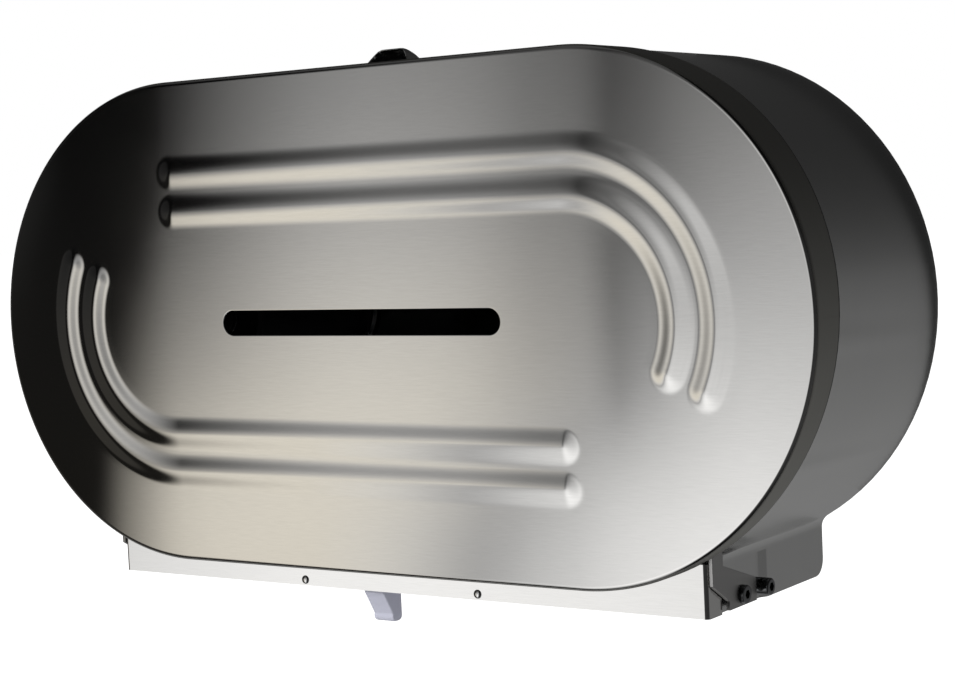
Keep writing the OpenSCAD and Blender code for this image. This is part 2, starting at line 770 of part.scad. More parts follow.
module spindle_rivets() {
    color(zinc) on_wall() for (s = [-1, 1], a = [45 : 90 : 315])
        translate([s * end_x + foot_pcd / 2 * cos(a), foot_pcd / 2 * sin(a), 0])
            rivet(0, sheet_t + foot_t, foot_rivet_d, foot_rivet_d, sheet_t, foot_rivet_d + 3, 1.4);
}

// A flat washer seated at the given height on each spindle.
module washers(z, bore) {
    both_sides() translate([end_x, 0, z]) difference() {
        cylinder(h = washer_t, d = washer_d, $fn = small_fn * 2);
        translate([0, 0, -1]) cylinder(h = washer_t + 2, d = bore + screw_gap, $fn = small_fn * 2);
    }
}

module spindle_washers() {
    color(zinc) on_wall() {
        washers(sheet_t + foot_t, spindle_d);
        washers(shoulder_z, tip_d);
    }
}

module spindle_caps() {
    z0 = shoulder_z + washer_t;
    color(black_plastic) on_wall() both_sides() translate([end_x, 0, 0])
        rotate_extrude($fn = small_fn * 2) polygon(concat(
            [[tip_d / 2 + screw_gap / 2, z0], [cap_d / 2, z0]],
            arc(cap_d / 2 - 2, z0 + cap_h - 2, 2, 0, 90),
            [[0, z0 + cap_h], [0, shoulder_z + tip_l + 0.2],
                [tip_d / 2 + screw_gap / 2, shoulder_z + tip_l + 0.2]]));
}

// A hub: an outer sleeve for the roll's core, a bored core and webs between them.
module hub() {
    sleeve_in = hub_d / 2 - hub_wall;
    difference() {
        union() {
            difference() {
                rotate_extrude($fn = round_fn) polygon([
                    [0, 0], [hub_flange_d / 2, 0], [hub_flange_d / 2, 2], [hub_d / 2, 2],
                    [hub_d / 2, hub_l - 2], [hub_d / 2 - 2, hub_l], [0, hub_l]]);
                translate([0, 0, -1]) cylinder(h = hub_l - 1.5, r = sleeve_in, $fn = round_fn);
            }
            cylinder(h = hub_l, d = hub_core_d, $fn = small_fn * 2);
            for (a = [0 : 60 : 300])
                rotate([0, 0, a]) translate([hub_core_d / 4, -hub_web / 2, 0])
                    cube([sleeve_in - hub_core_d / 4 + hub_wall / 2, hub_web, hub_l - 1]);
        }
        translate([0, 0, -1]) cylinder(h = hub_l + 2, d = hub_bore_d, $fn = small_fn * 2);
    }
}

module hub_right() {
    color(black_plastic) on_wall() translate([end_x, 0, hub_z]) hub();
}

module hub_left() {
    color(black_plastic) on_wall() translate([-end_x, 0, hub_z]) hub();
}

module shutter() {
    tab_y = -leg_drop - tab_drop;
    slant = atan((tab_front - tab_foot) / (tab_drop - 1.5));
    c = tab_corner;
    corner_z = tab_foot - c * tan(45 - slant / 2);
    profile = concat([[shutter_top, tab_rear], [shutter_top, tab_front], [-leg_drop - 1.5, tab_front]],
        arc(tab_y + c, corner_z, c, 90 - slant, 180),
        arc(tab_y + c, tab_rear + c, c, 180, 270));
    color(plastic) on_wall() translate([-tab_left, 0, 0]) {
        translate([-shutter_half, shutter_bottom, shutter_rear])
            cube([2 * shutter_half, shutter_t, shutter_front - shutter_rear]);
        cross_run(-tab_w / 2, tab_w / 2) polygon(profile);
    }
}

body_wrap();
back_plate();
bottom_panel();
front_rail();
rail_rivets();
shutter_guides();
pivot_screws();
pivot_nuts();
stop_screws();
stop_nuts();
spindle_left();
spindle_right();
spindle_rivets();
spindle_washers();
spindle_caps();
lock_guide();
lock_rivets();
door_cover();
hinge_arm_left();
hinge_arm_right();
pivot_bushes();
strike_plate();
shutter();
hub_left();
hub_right();
lock_bolt();
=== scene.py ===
# %% [markdown]
# A jumbo toilet roll dispenser for two rolls, in brushed stainless steel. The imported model
# gives every piece its size and place, and this script gives each one its finish. Each step
# first says what the piece is on the real object, and then how it is made here.

# %% The frame
import math

import bmesh
import bpy
from mathutils import Matrix, Vector


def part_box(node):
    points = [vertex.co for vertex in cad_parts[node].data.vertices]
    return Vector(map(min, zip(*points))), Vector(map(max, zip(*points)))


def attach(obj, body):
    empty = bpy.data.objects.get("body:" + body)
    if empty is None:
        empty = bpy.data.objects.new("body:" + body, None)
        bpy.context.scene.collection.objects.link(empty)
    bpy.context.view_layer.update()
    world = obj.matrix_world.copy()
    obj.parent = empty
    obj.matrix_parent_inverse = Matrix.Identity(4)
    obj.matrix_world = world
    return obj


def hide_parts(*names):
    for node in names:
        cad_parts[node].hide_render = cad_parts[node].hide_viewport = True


MM = 0.001
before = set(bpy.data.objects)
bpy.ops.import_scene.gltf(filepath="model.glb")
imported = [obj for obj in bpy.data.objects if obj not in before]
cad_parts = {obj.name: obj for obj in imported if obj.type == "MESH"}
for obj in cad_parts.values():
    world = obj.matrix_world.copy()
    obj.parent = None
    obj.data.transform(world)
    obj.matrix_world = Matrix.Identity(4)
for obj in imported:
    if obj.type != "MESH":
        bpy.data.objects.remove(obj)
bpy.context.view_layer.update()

# %% [markdown]
# The camera comes first. It stands to the right of the dispenser, a little above the middle,
# and looks slightly down. Its place was worked out from the photograph's outline, seam and
# screws. The lens is written for a sensor 36 mm wide, and the image is 955 pixels wide.

# %% The camera
IMAGE_WIDTH = 955
SENSOR = 36
FOCAL_PIXELS = 2070.2
TURN = 0.606
PITCH = -0.0725
ROLL = -0.0469
STAND = Vector((0.6728, -1.0063, 0.0615))


def add_camera():
    data = bpy.data.cameras.new("photo_camera")
    data.sensor_width = SENSOR
    data.lens = FOCAL_PIXELS * SENSOR / IMAGE_WIDTH
    data.clip_end = 500
    camera = bpy.data.objects.new("photo_camera", data)
    bpy.context.scene.collection.objects.link(camera)
    ahead = Vector((-math.sin(TURN) * math.cos(PITCH), math.cos(TURN) * math.cos(PITCH), math.sin(PITCH)))
    level = Vector((math.cos(TURN), math.sin(TURN), 0))
    up = level.cross(ahead)
    right = level * math.cos(ROLL) + up * math.sin(ROLL)
    top = up * math.cos(ROLL) - level * math.sin(ROLL)
    camera.matrix_world = Matrix((right, top, -ahead)).transposed().to_4x4()
    camera.location = STAND
    bpy.context.scene.camera = camera
    return camera


camera = add_camera()
bpy.context.scene.view_settings.view_transform = "Standard"
print("lens in mm:", round(camera.data.lens, 2))

# %% [markdown]
# A few helpers serve every material. One turns an sRGB hex value into linear colour. Another
# adds a node, sets what it is told to set, and links any socket that it is given. A ramp of
# values is how most of the studio's light and shade is written down.

# %% Helpers for materials
def linear(code):
    values = [int(code[i:i + 2], 16) / 255 for i in (1, 3, 5)]
    return [v / 12.92 if v <= 0.04045 else ((v + 0.055) / 1.055) ** 2.4 for v in values] + [1]


def add(tree, kind, inputs=None, **settings):
    node = tree.nodes.new(kind)
    for name, value in settings.items():
        setattr(node, name, value)
    for name, value in (inputs or {}).items():
        if isinstance(value, bpy.types.NodeSocket):
            tree.links.new(value, node.inputs[name])
        else:
            node.inputs[name].default_value = value
    return node


def number(tree, kind, a, b):
    return add(tree, "ShaderNodeMath", {0: a, 1: b}, operation=kind).outputs[0]


def times(tree, a, b):
    return add(tree, "ShaderNodeVectorMath", {0: a, 1: b}, operation="MULTIPLY").outputs[0]


def blend(tree, value, at_a, at_b, a, b):
    """Goes from colour a to colour b while the value goes from at_a to at_b."""
    share = add(tree, "ShaderNodeMapRange", {"Value": value, "From Min": at_a, "From Max": at_b})
    return add(tree, "ShaderNodeMix", {0: share.outputs[0], 6: a, 7: b}, data_type="RGBA").outputs[2]


def new_material(name):
    material = bpy.data.materials.new(name)
    material.use_nodes = True
    material.node_tree.nodes.clear()
    return material, material.node_tree


def set_stops(ramp, stops):
    """Gives a colour ramp its (position, grey) stops."""
    while len(ramp.elements) > 1:
        ramp.elements.remove(ramp.elements[-1])
    for i, (place, value) in enumerate(stops):
        stop = ramp.elements[0] if i == 0 else ramp.elements.new(place)
        stop.position = place
        stop.color = (value, value, value, 1)


print("helpers: a mid grey is", round(linear("#808080")[0], 3), "in linear light")

# %% [markdown]
# Polished and brushed metal shows mostly what stands round it, so the studio is part of the
# metal's look. The background is white and so is the world. The dark and bright zones that
# the steel mirrors are on one very large dome, as flags and softboxes would give them. Only
# glossy rays meet the dome, so it shows in the metal and casts no other light and no shadow.

# %% The world
DAYLIGHT = 0.4


def add_world():
    world = bpy.data.worlds.new("studio")
    bpy.context.scene.world = world
    world.use_nodes = True
    tree = world.node_tree
    tree.nodes.clear()
    path = add(tree, "ShaderNodeLightPath").outputs
    seen = number(tree, "MAXIMUM", path["Is Camera Ray"], path["Is Glossy Ray"])
    seen = number(tree, "MAXIMUM", seen, path["Is Transmission Ray"])
    light = add(tree, "ShaderNodeBackground", {"Color": (1, 1, 1, 1), "Strength": DAYLIGHT})
    white = add(tree, "ShaderNodeBackground", {"Color": (1, 1, 1, 1), "Strength": 1})
    mix = add(tree, "ShaderNodeMixShader", {0: seen, 1: light.outputs[0], 2: white.outputs[0]})
    add(tree, "ShaderNodeOutputWorld", {"Surface": mix.outputs[0]})


add_world()
print("world lights at", DAYLIGHT)

# %% [markdown]
# The zones on the dome are written as ramps over two angles. The rise is how many degrees the
# mirrored ray climbs, and the turn is how many degrees it points to the left of straight
# ahead. An image texture would do the same, but ramps can be read and changed one by one.

# %% The zones that the steel mirrors
DOME_RADIUS = 80
# The part of the dome's light that comes back from the brushed steel.
STEEL_SHARE = 0.65
# Every height ramp says how bright the steel is to look, as a part of white, by the degrees
# that the mirrored ray rises. The softbox stands ahead and to the left, a window is to the
# right of it, a brighter side window is beyond that, and behind the wall the room is dark.
SOFTBOX = (
    (-90, 0.05), (-60, 0.12), (-45, 0.3), (-32, 0.56), (-25, 0.66), (-17, 0.65), (-14, 0.62),
    (-12, 0.635), (-10, 0.66), (-8, 0.63), (-6, 0.62), (-4, 0.57), (-2, 0.53), (0, 0.477),
    (2, 0.385), (4, 0.298), (6, 0.275), (9, 0.24), (12, 0.19), (15, 0.12), (18, 0.09),
    (25, 0.065), (40, 0.055), (90, 0.055))
WINDOW = (
    (-90, 0.05), (-60, 0.12), (-42, 0.5), (-30, 0.85), (-22, 0.9), (-18, 0.85), (-14, 0.83),
    (-12, 0.795), (-10, 0.735), (-8, 0.65), (-6, 0.565), (-4, 0.475), (-2, 0.39), (0, 0.315),
    (2, 0.26), (4, 0.213), (6, 0.175), (9, 0.15), (12, 0.13), (15, 0.1), (18, 0.07), (30, 0.05),
    (90, 0.04))
SIDE = (
    (-90, 0.05), (-60, 0.12), (-42, 0.5), (-30, 0.78), (-21, 0.81), (-18, 0.73), (-15, 0.69),
    (-12, 0.625), (-9, 0.57), (-6, 0.515), (-3, 0.468), (0, 0.456), (3, 0.46), (6, 0.5), (9, 0.5),
    (12, 0.47), (15, 0.4), (20, 0.2), (30, 0.06), (90, 0.04))
ROOM = (
    (-90, 0.3), (-45, 0.25), (-34, 0.185), (-21, 0.15), (-4, 0.115), (3, 0.09), (7, 0.065),
    (14, 0.04), (21, 0.027), (30, 0.018), (60, 0.03), (90, 0.04))
# By the turn, the softbox fades into a black flag. These are parts of the softbox's light.
FLAG_EDGE = (
    (34, 1), (37, 0.98), (38, 0.95), (39, 0.86), (40, 0.75), (41, 0.59), (42, 0.42), (43, 0.25),
    (43.6, 0.13), (44.1, 0.05), (44.6, 0.012), (50, 0.012), (52, 0.045), (55, 0.045))
# By the rise, how many degrees the flag's edge is moved, and how sharp it is. A ramp only
# holds what lies between 0 and 1, so each has the most that it stands for.
FLAG_RISES = (-14, 4)
FLAG_SIDE = 44.6
LEAN_MOST = 5
SHARP_MOST = 2
FLAG_LEAN = ((-14, -4.1), (-12, -3.8), (-6, -2.4), (0, 0), (3, 1), (4, 1))
FLAG_SHARP = ((-14, 1.25), (-9.5, 1.2), (-6.5, 0.78), (-3, 0.78), (0, 0.95), (3, 1.1), (4, 1.1))
# High up, the flag ends and the ceiling takes over.
FLAG_TOP = (30, 50)
CEILING = (0.9, 0.9, 0.9, 1)
# A stand between the softbox and the window throws a soft dark line, by the turn. Low down it
# is another line, which swings to the left with the drop and then drifts on slowly.
SWING_RISE = -6
SWING_DROP = 5
SWING = 1.15
DRIFT_DROP = 6
DRIFT = 0.3
STAND_HIGH = (
    (-6, 0.04), (1, 0.5), (5, 1), (24, 1), (25, 0.94), (26, 0.84), (27, 0.70), (28, 0.53),
    (29, 0.42), (29.8, 0.31), (30.5, 0.45), (31.2, 0.56), (33, 0.60), (34, 0.70), (35, 0.83),
    (36, 0.90), (37.5, 0.96), (39, 1))
STAND_LOW = (
    (-6, 0.04), (1, 0.5), (5, 1), (19, 1), (21, 0.97), (22.5, 0.92), (24.5, 0.84), (26, 0.74),
    (27.4, 0.62), (28.3, 0.50), (29.2, 0.43), (30.2, 0.56), (31.2, 0.72), (32.3, 0.85),
    (33.3, 0.93), (34.3, 0.98), (39, 1))
# The rises and turns over which one zone gives way to the next.
STAND_RISES = (-5.5, -9)
SIDE_TURNS = (24, 14)
SOFTBOX_TURNS = (29, 34)
WARM_RISES = (4, -10)
# The front gives way to the room behind over this span of the dome's way ahead.
ROOM_STARTS = (0.1, -0.1)
NEUTRAL, WARM = (1, 1, 1, 1), (1.06, 1, 0.88, 1)


def ramp_of(tree, value, low, high, stops, top=1):
    """A ramp over a value that runs from low to high. The grey of a stop is a part of top."""
    place = add(tree, "ShaderNodeMapRange", {"Value": value, "From Min": low, "From Max": high})
    ramp = add(tree, "ShaderNodeValToRGB", {"Fac": place.outputs[0]})
    set_stops(ramp.color_ramp, [((at - low) / (high - low), grey / top) for at, grey in stops])
    return ramp.outputs["Color"]


def by_rise(tree, rise, stops):
    return ramp_of(tree, rise, -90, 90, stops)


def by_turn(tree, turn, stops):
    return ramp_of(tree, turn, stops[0][0], stops[-1][0], stops)


def flag_share(tree, turn, rise):
    """How much of the softbox the black flag leaves. Its edge leans, and its sharpness changes."""
    stops = [(at, (lean + LEAN_MOST) / (2 * LEAN_MOST)) for at, lean in FLAG_LEAN]
    lean = number(tree, "MULTIPLY", ramp_of(tree, rise, *FLAG_RISES, stops), 2 * LEAN_MOST)
    lean = number(tree, "SUBTRACT", lean, LEAN_MOST)
    sharp = ramp_of(tree, rise, *FLAG_RISES, FLAG_SHARP, SHARP_MOST)
    sharp = number(tree, "MULTIPLY", sharp, SHARP_MOST)
    off = number(tree, "SUBTRACT", number(tree, "ADD", turn, lean), FLAG_SIDE)
    edge = number(tree, "ADD", number(tree, "MULTIPLY", off, sharp), FLAG_SIDE)
    return blend(tree, rise, *FLAG_TOP, by_turn(tree, edge, FLAG_EDGE), CEILING)


def swung(tree, turn, rise):
    """The turn as the low zones see it: it swings with the drop, and then drifts."""
    drop = number(tree, "MAXIMUM", number(tree, "SUBTRACT", SWING_RISE, rise), 0)
    swing = number(tree, "MULTIPLY", number(tree, "MINIMUM", drop, SWING_DROP), SWING)
    past = number(tree, "MAXIMUM", number(tree, "SUBTRACT", drop, DRIFT_DROP), 0)
    both = number(tree, "ADD", swing, number(tree, "MULTIPLY", past, DRIFT))
    return number(tree, "SUBTRACT", turn, both)


def dome_material():
    material, tree = new_material("studio_dome")
    place = add(tree, "ShaderNodeTexCoord").outputs["Object"]
    ray = add(tree, "ShaderNodeVectorMath", {0: place}, operation="NORMALIZE")
    xyz = add(tree, "ShaderNodeSeparateXYZ", {0: ray.outputs[0]}).outputs
    left = number(tree, "MULTIPLY", xyz["X"], -1)
    ahead = number(tree, "MULTIPLY", xyz["Y"], -1)
    turn = number(tree, "MULTIPLY", number(tree, "ARCTAN2", left, ahead), math.degrees(1))
    rise = number(tree, "MULTIPLY", number(tree, "ARCSINE", xyz["Z"], 0), math.degrees(1))
    low_turn = swung(tree, turn, rise)
    warm = blend(tree, rise, *WARM_RISES, NEUTRAL, WARM)
    softbox = times(tree, times(tree, by_rise(tree, rise, SOFTBOX), warm), flag_share(tree, turn, rise))
    window = blend(tree, turn, *SIDE_TURNS, by_rise(tree, rise, WINDOW), by_rise(tree, rise, SIDE))
    high, low = by_turn(tree, turn, STAND_HIGH), by_turn(tree, low_turn, STAND_LOW)
    stand = blend(tree, rise, *STAND_RISES, high, low)
    front = times(tree, blend(tree, low_turn, *SOFTBOX_TURNS, window, softbox), stand)
    whole = blend(tree, ahead, *ROOM_STARTS, front, by_rise(tree, rise, ROOM))
    glow = add(tree, "ShaderNodeEmission", {"Color": whole, "Strength": 1 / STEEL_SHARE})
    add(tree, "ShaderNodeOutputMaterial", {"Surface": glow.outputs[0]})
    return material


def stage_mirror(name, mesh, material):
    """Stage that only glossy rays meet: it lights nothing, shades nothing and isn't seen."""
    mesh.materials.append(material)
    piece = bpy.data.objects.new(name, mesh)
    bpy.context.scene.collection.objects.link(piece)
    piece.visible_camera = False
    piece.visible_diffuse = False
    piece.visible_transmission = False
    piece.visible_volume_scatter = False
    piece.visible_shadow = False


def add_dome():
    mesh = bpy.data.meshes.new("studio_dome")
    shell = bmesh.new()
    bmesh.ops.create_uvsphere(shell, u_segments=96, v_segments=48, radius=DOME_RADIUS)
    shell.to_mesh(mesh)
    shell.free()
    stage_mirror("studio_dome", mesh, dome_material())


add_dome()
print("dome radius in m:", DOME_RADIUS, "with", len(SOFTBOX), "stops in the softbox")

# %% [markdown]
# Close to the wall, the housing's round end mirrors what lies beside it. The soft black line
# that runs along the housing's rear edge is painted shade, seen only in the steel's
# reflection. The dome is too far away to give it, so a narrow near-black strip goes round the
# end, a little behind the wall's plane. It widens upwards, as the line does.

# %% The painted shade strip beside the housing
STRIP_MIDDLE = 130 * MM
STRIP_Y = 3 * MM
STRIP_NEAR = 135.5 * MM
STRIP_TURNS = range(-50, 91, 5)
STRIP_WIDENS = (-30, 38)
STRIP_NARROW = 0.8 * MM
STRIP_GROWTH = 10 * MM
STRIP_PAINTED_SHADE = (0.02, 0.02, 0.02, 1)


def add_strip():
    # The strip is painted shade: a near-black glow that only the steel's reflection sees.
    material, tree = new_material("dark_wall")
    glow = add(tree, "ShaderNodeEmission", {"Color": STRIP_PAINTED_SHADE, "Strength": 1})
    add(tree, "ShaderNodeOutputMaterial", {"Surface": glow.outputs[0]})
    points = []
    first, last = STRIP_WIDENS
    for degrees in STRIP_TURNS:
        turn = math.radians(degrees)
        share = min(max((degrees - first) / (last - first), 0), 1)
        for r in (STRIP_NEAR, STRIP_NEAR + STRIP_NARROW + STRIP_GROWTH * share):
            points.append((STRIP_MIDDLE + r * math.cos(turn), STRIP_Y, r * math.sin(turn)))
    faces = [(i, i + 1, i + 3, i + 2) for i in range(0, len(points) - 2, 2)]
    mesh = bpy.data.meshes.new("dark_wall")
    mesh.from_pydata(points, [], faces)
    stage_mirror("dark_wall", mesh, material)
    return len(faces)


print("dark strip:", add_strip(), "faces")

# %% [markdown]
# The dispenser hangs on a wall, so the floor lies well below it. The floor is a pale diffuse
# surface that still takes the object's shadow, with a little light of its own for the camera
# so that it meets the white background without an edge. From below it is clear, so that the
# dispenser's underside, with the paper exits, can be seen too. One broad lamp gives the
# plastic and the screws a soft direction, and isn't seen in the metal.

# %% The floor and the lamp
FLOOR_DROP = 0.62
FLOOR_SIZE = 60
FLOOR_LIFT = 0.85
LAMP_WATTS = 60
LAMP_SIZE = 1.6
LAMP_PLACE = Vector((-1.1, -1.9, 1.3))


def add_floor():
    material, tree = new_material("pale_floor")
    path = add(tree, "ShaderNodeLightPath").outputs
    matt = add(tree, "ShaderNodeBsdfDiffuse", {"Color": linear("#f2f2f2")})
    lift = number(tree, "MULTIPLY", path["Is Camera Ray"], FLOOR_LIFT)
    glow = add(tree, "ShaderNodeEmission", {"Color": (1, 1, 1, 1), "Strength": lift})
    both = add(tree, "ShaderNodeAddShader", {0: matt.outputs[0], 1: glow.outputs[0]})
    below = add(tree, "ShaderNodeNewGeometry").outputs["Backfacing"]
    clear = add(tree, "ShaderNodeBsdfTransparent")
    sided = add(tree, "ShaderNodeMixShader", {0: below, 1: both.outputs[0], 2: clear.outputs[0]})
    add(tree, "ShaderNodeOutputMaterial", {"Surface": sided.outputs[0]})
    half = FLOOR_SIZE / 2
    corners = ((-half, -half), (half, -half), (half, half), (-half, half))
    mesh = bpy.data.meshes.new("floor")
    mesh.from_pydata([(x, y, -FLOOR_DROP) for x, y in corners], [], [(0, 1, 2, 3)])
    mesh.materials.append(material)
    floor = bpy.data.objects.new("floor", mesh)
    bpy.context.scene.collection.objects.link(floor)
    floor.visible_glossy = False


def add_lamp():
    data = bpy.data.lights.new("broad_lamp", "AREA")
    data.shape = "DISK"
    data.size = LAMP_SIZE
    data.energy = LAMP_WATTS
    lamp = bpy.data.objects.new("broad_lamp", data)
    bpy.context.scene.collection.objects.link(lamp)
    lamp.location = LAMP_PLACE
    lamp.rotation_euler = (-LAMP_PLACE).to_track_quat("-Z", "Y").to_euler()
    lamp.visible_glossy = False


add_floor()
add_lamp()
print("floor below the wall holes, in m:", FLOOR_DROP)

# %% [markdown]
# Brushed stainless steel (grade 304, drawn over a belt of about 180 grit) is scratched along
# its length. The scratches mirror sharply along the grain and smear the mirror image across
# it. The shader's anisotropy gives that, with its tangent across the grain: up and down on the
# face, and front to back on the housing, whose sheet is bent along its grain. The scratches
# are finer than the picture shows, so the grain is drawn about ten times as coarse: streaks
# 0.4 mm high and 9 mm long on the face, and three times as long round the housing.

# %% Brushed stainless steel
GRAIN_HEIGHT = 0.4 * MM
GRAIN_LENGTH = 9 * MM
CLOUD_SIZE = 60 * MM


def between(tree, value, low, high):
    """Spreads a noise, which mostly stays between 0.3 and 0.7, over the range from low to high."""
    return add(tree, "ShaderNodeMapRange", {
        "Value": value, "From Min": 0.3, "From Max": 0.7, "To Min": low, "To Max": high}).outputs[0]


def scaled(tree, colour, share):
    return add(tree, "ShaderNodeVectorMath", {0: linear(colour)[:3], "Scale": share},
               operation="SCALE").outputs[0]


def noise(tree, place, scale, detail):
    return add(tree, "ShaderNodeTexNoise", {"Vector": place, "Scale": scale, "Detail": detail}).outputs[0]


def brushed_steel(name, colour, roughness, smear_share=1):
    """Steel that is brushed along its length on the face, and round the shell everywhere else."""
    material, tree = new_material(name)
    place = add(tree, "ShaderNodeTexCoord").outputs
    facing = add(tree, "ShaderNodeSeparateXYZ", {0: place["Normal"]}).outputs["Y"]
    front = number(tree, "GREATER_THAN", number(tree, "ABSOLUTE", facing, 0), 0.5)
    long, high = 1 / GRAIN_LENGTH, 1 / GRAIN_HEIGHT
    size = blend(tree, front, 0, 1, (long / 3, high, long / 3, 1), (long, long, high, 1))
    grain = noise(tree, times(tree, place["Object"], size), 1, 3)
    cloud = noise(tree, place["Object"], 1 / CLOUD_SIZE, 2)
    tint = scaled(tree, colour, between(tree, grain, 0.975, 1.025))
    rough = between(tree, cloud, roughness - 0.01, roughness + 0.01)
    bump = add(tree, "ShaderNodeBump", {"Height": grain, "Strength": 0.06, "Distance": 0.02 * MM})
    way = blend(tree, front, 0, 1, (0, 1, 0, 1), (0, 0, 1, 1))
    smear = add(tree, "ShaderNodeVectorTransform", {"Vector": way}, vector_type="VECTOR",
                convert_from="OBJECT", convert_to="WORLD")
    shader = add(tree, "ShaderNodeBsdfPrincipled", {
        "Base Color": tint, "Metallic": 1, "Roughness": rough, "Anisotropic": smear_share,
        "Tangent": smear.outputs[0], "Normal": bump.outputs[0]})
    add(tree, "ShaderNodeOutputMaterial", {"Surface": shader.outputs[0]})
    return material


cover_steel = brushed_steel("brushed_stainless_304", "#d3d2d0", 0.085)
# The rim's colour is darker than the face's, though it is the same sheet: painted shade.
rim_steel_painted_shade = brushed_steel("brushed_stainless_rim_painted_shade", "#a3a29d", 0.55, 0)
housing_steel = brushed_steel("brushed_stainless_housing", "#d0d0cf", 0.17)
# The arms' steel is the same brushed stainless, painted darker as painted shade.
arm_steel_painted_shade = brushed_steel("brushed_stainless_arms_painted_shade", "#b5b4b3", 0.26)
print("brushed steels:", cover_steel.name, rim_steel_painted_shade.name, housing_steel.name, arm_steel_painted_shade.name)

# %% [markdown]
# The small hardware is machined or pressed steel with a zinc plating: a smooth metal with
# faint cloudy patches where the plating varies. The screws are a darker steel, the rail's
# rivets are polished, and the cover's rolled rear edge is dull and painted near black, as
# painted shade along that edge. They differ in colour and roughness alone, so one function
# makes them all.

# %% Plated and polished steel
PLATING_CLOUD = 3 * MM


def plated_steel(name, colour, roughness=0.21):
    material, tree = new_material(name)
    place = add(tree, "ShaderNodeTexCoord").outputs["Object"]
    cloud = noise(tree, place, 1 / PLATING_CLOUD, 4)
    rough = between(tree, cloud, roughness - 0.05, roughness + 0.05)
    tint = scaled(tree, colour, between(tree, cloud, 0.92, 1.04))
    shader = add(tree, "ShaderNodeBsdfPrincipled", {"Base Color": tint, "Metallic": 1, "Roughness": rough})
    add(tree, "ShaderNodeOutputMaterial", {"Surface": shader.outputs[0]})
    return material


hardware_steel = plated_steel("zinc_plated_steel", "#c4c6c8")
# The screws are given a darker steel than the other hardware.
screw_steel = plated_steel("dark_screw_steel", "#6f7072", 0.16)
# The cover's rear edge is painted near black: painted shade along the rim's rear edge.
rim_edge_painted_shade_steel = plated_steel("painted_shade_rim_edge", "#3c3b39", 0.4)
rivet_steel = plated_steel("polished_rivet_steel", "#d9d9d8", 0.09)
print("hardware:", hardware_steel.name, screw_steel.name, rim_edge_painted_shade_steel.name, rivet_steel.name)

# %% [markdown]
# The finger tab and the shutter are ABS, moulded in a light lavender-grey with a fine satin
# texture. The hubs, caps and bushes are polyamide, moulded in black with a coarser
# spark-eroded texture. Slow streaks of colour from the flow in the mould keep them from
# looking flat, and the texture is a bump with a grain of its real size.

# %% The two plastics
SATIN_GRAIN = 0.5 * MM
SPARK_GRAIN = 0.9 * MM


def moulded_plastic(name, colour, roughness, texture):
    """A plastic with the texture of its mould, whose grain is given in metres."""
    material, tree = new_material(name)
    place = add(tree, "ShaderNodeTexCoord").outputs["Object"]
    grain = noise(tree, place, 1 / texture, 3)
    flow = noise(tree, place, 1 / (40 * texture), 2)
    tint = scaled(tree, colour, between(tree, flow, 0.97, 1.03))
    rough = between(tree, grain, roughness - 0.05, roughness + 0.05)
    bump = add(tree, "ShaderNodeBump", {"Height": grain, "Strength": 0.25, "Distance": 0.03 * MM})
    shader = add(tree, "ShaderNodeBsdfPrincipled", {
        "Base Color": tint, "Roughness": rough, "IOR": 1.53, "Normal": bump.outputs[0]})
    add(tree, "ShaderNodeOutputMaterial", {"Surface": shader.outputs[0]})
    return material


grey_plastic = moulded_plastic("lavender_grey_abs", "#c2c3d2", 0.42, SATIN_GRAIN)
black_plastic = moulded_plastic("black_polyamide", "#1d1e20", 0.5, SPARK_GRAIN)
print("plastics:", grey_plastic.name, black_plastic.name)

# %% [markdown]
# Several pieces are a stack of closed loops with a skin over them: the cover is a stack of
# stadium loops, and a screw is a stack of circles and hexagons. One helper puts the skin on
# and turns its faces outwards by the sign of the volume. Another one shades it smoothly, and
# keeps an edge sharp only where the skin turns there by more than the given angle.

# %% Helpers for meshes
SHARP_ANGLE = math.radians(38)


def settle(piece):
    """Turns a piece and its live modifiers into a plain mesh."""
    graph = bpy.context.evaluated_depsgraph_get()
    mesh = bpy.data.meshes.new_from_object(piece.evaluated_get(graph))
    piece.modifiers.clear()
    piece.data = mesh
    return piece


def shade(piece, angle=SHARP_ANGLE):
    piece.data.shade_smooth()
    piece.data.set_sharp_from_angle(angle=angle)
    return piece


def triangles(piece):
    return sum(len(face.vertices) - 2 for face in piece.data.polygons)


def skin(name, loops, joined_round=False):
    """A closed skin over loops of equal length. Its ends are closed, or joined to each other."""
    count = len(loops[0])
    points = [point for loop in loops for point in loop]
    faces = []
    pairs = len(loops) if joined_round else len(loops) - 1
    for i in range(pairs):
        a, b = i * count, (i + 1) % len(loops) * count
        faces += [(a + k, a + (k + 1) % count, b + (k + 1) % count, b + k) for k in range(count)]
    if not joined_round:
        last = (len(loops) - 1) * count
        faces += [tuple(reversed(range(count))), tuple(range(last, last + count))]
    mesh = bpy.data.meshes.new(name)
    mesh.from_pydata(points, [], faces)
    solid = bmesh.new()
    solid.from_mesh(mesh)
    if solid.calc_volume(signed=True) < 0:
        bmesh.ops.reverse_faces(solid, faces=solid.faces)
    solid.to_mesh(mesh)
    solid.free()
    piece = bpy.data.objects.new(name, mesh)
    bpy.context.scene.collection.objects.link(piece)
    return piece


def hand_over(piece, body, slot, *nodes):
    """Lets a finished piece ride on its body and stand for its nodes."""
    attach(piece, body)
    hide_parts(*nodes)
    print(piece.name, "rides on", body, "with", triangles(piece), "triangles")
    return piece


print("edges stay sharp above", round(math.degrees(SHARP_ANGLE)), "degrees")

# %% [markdown]
# The cover is one sheet 1.2 mm thick. Its outline is a stadium: two half circles and two
# straight runs about a middle line. Every line on it keeps a fixed distance from that middle
# line, so the sheet is built as stadium loops, from the slot's edge out over the face, round
# the bend, back along the rim and then home on the inside. The loops lie close together where
# the ribs will be pressed, and each flat has a loop beside its bend to keep its shading flat.

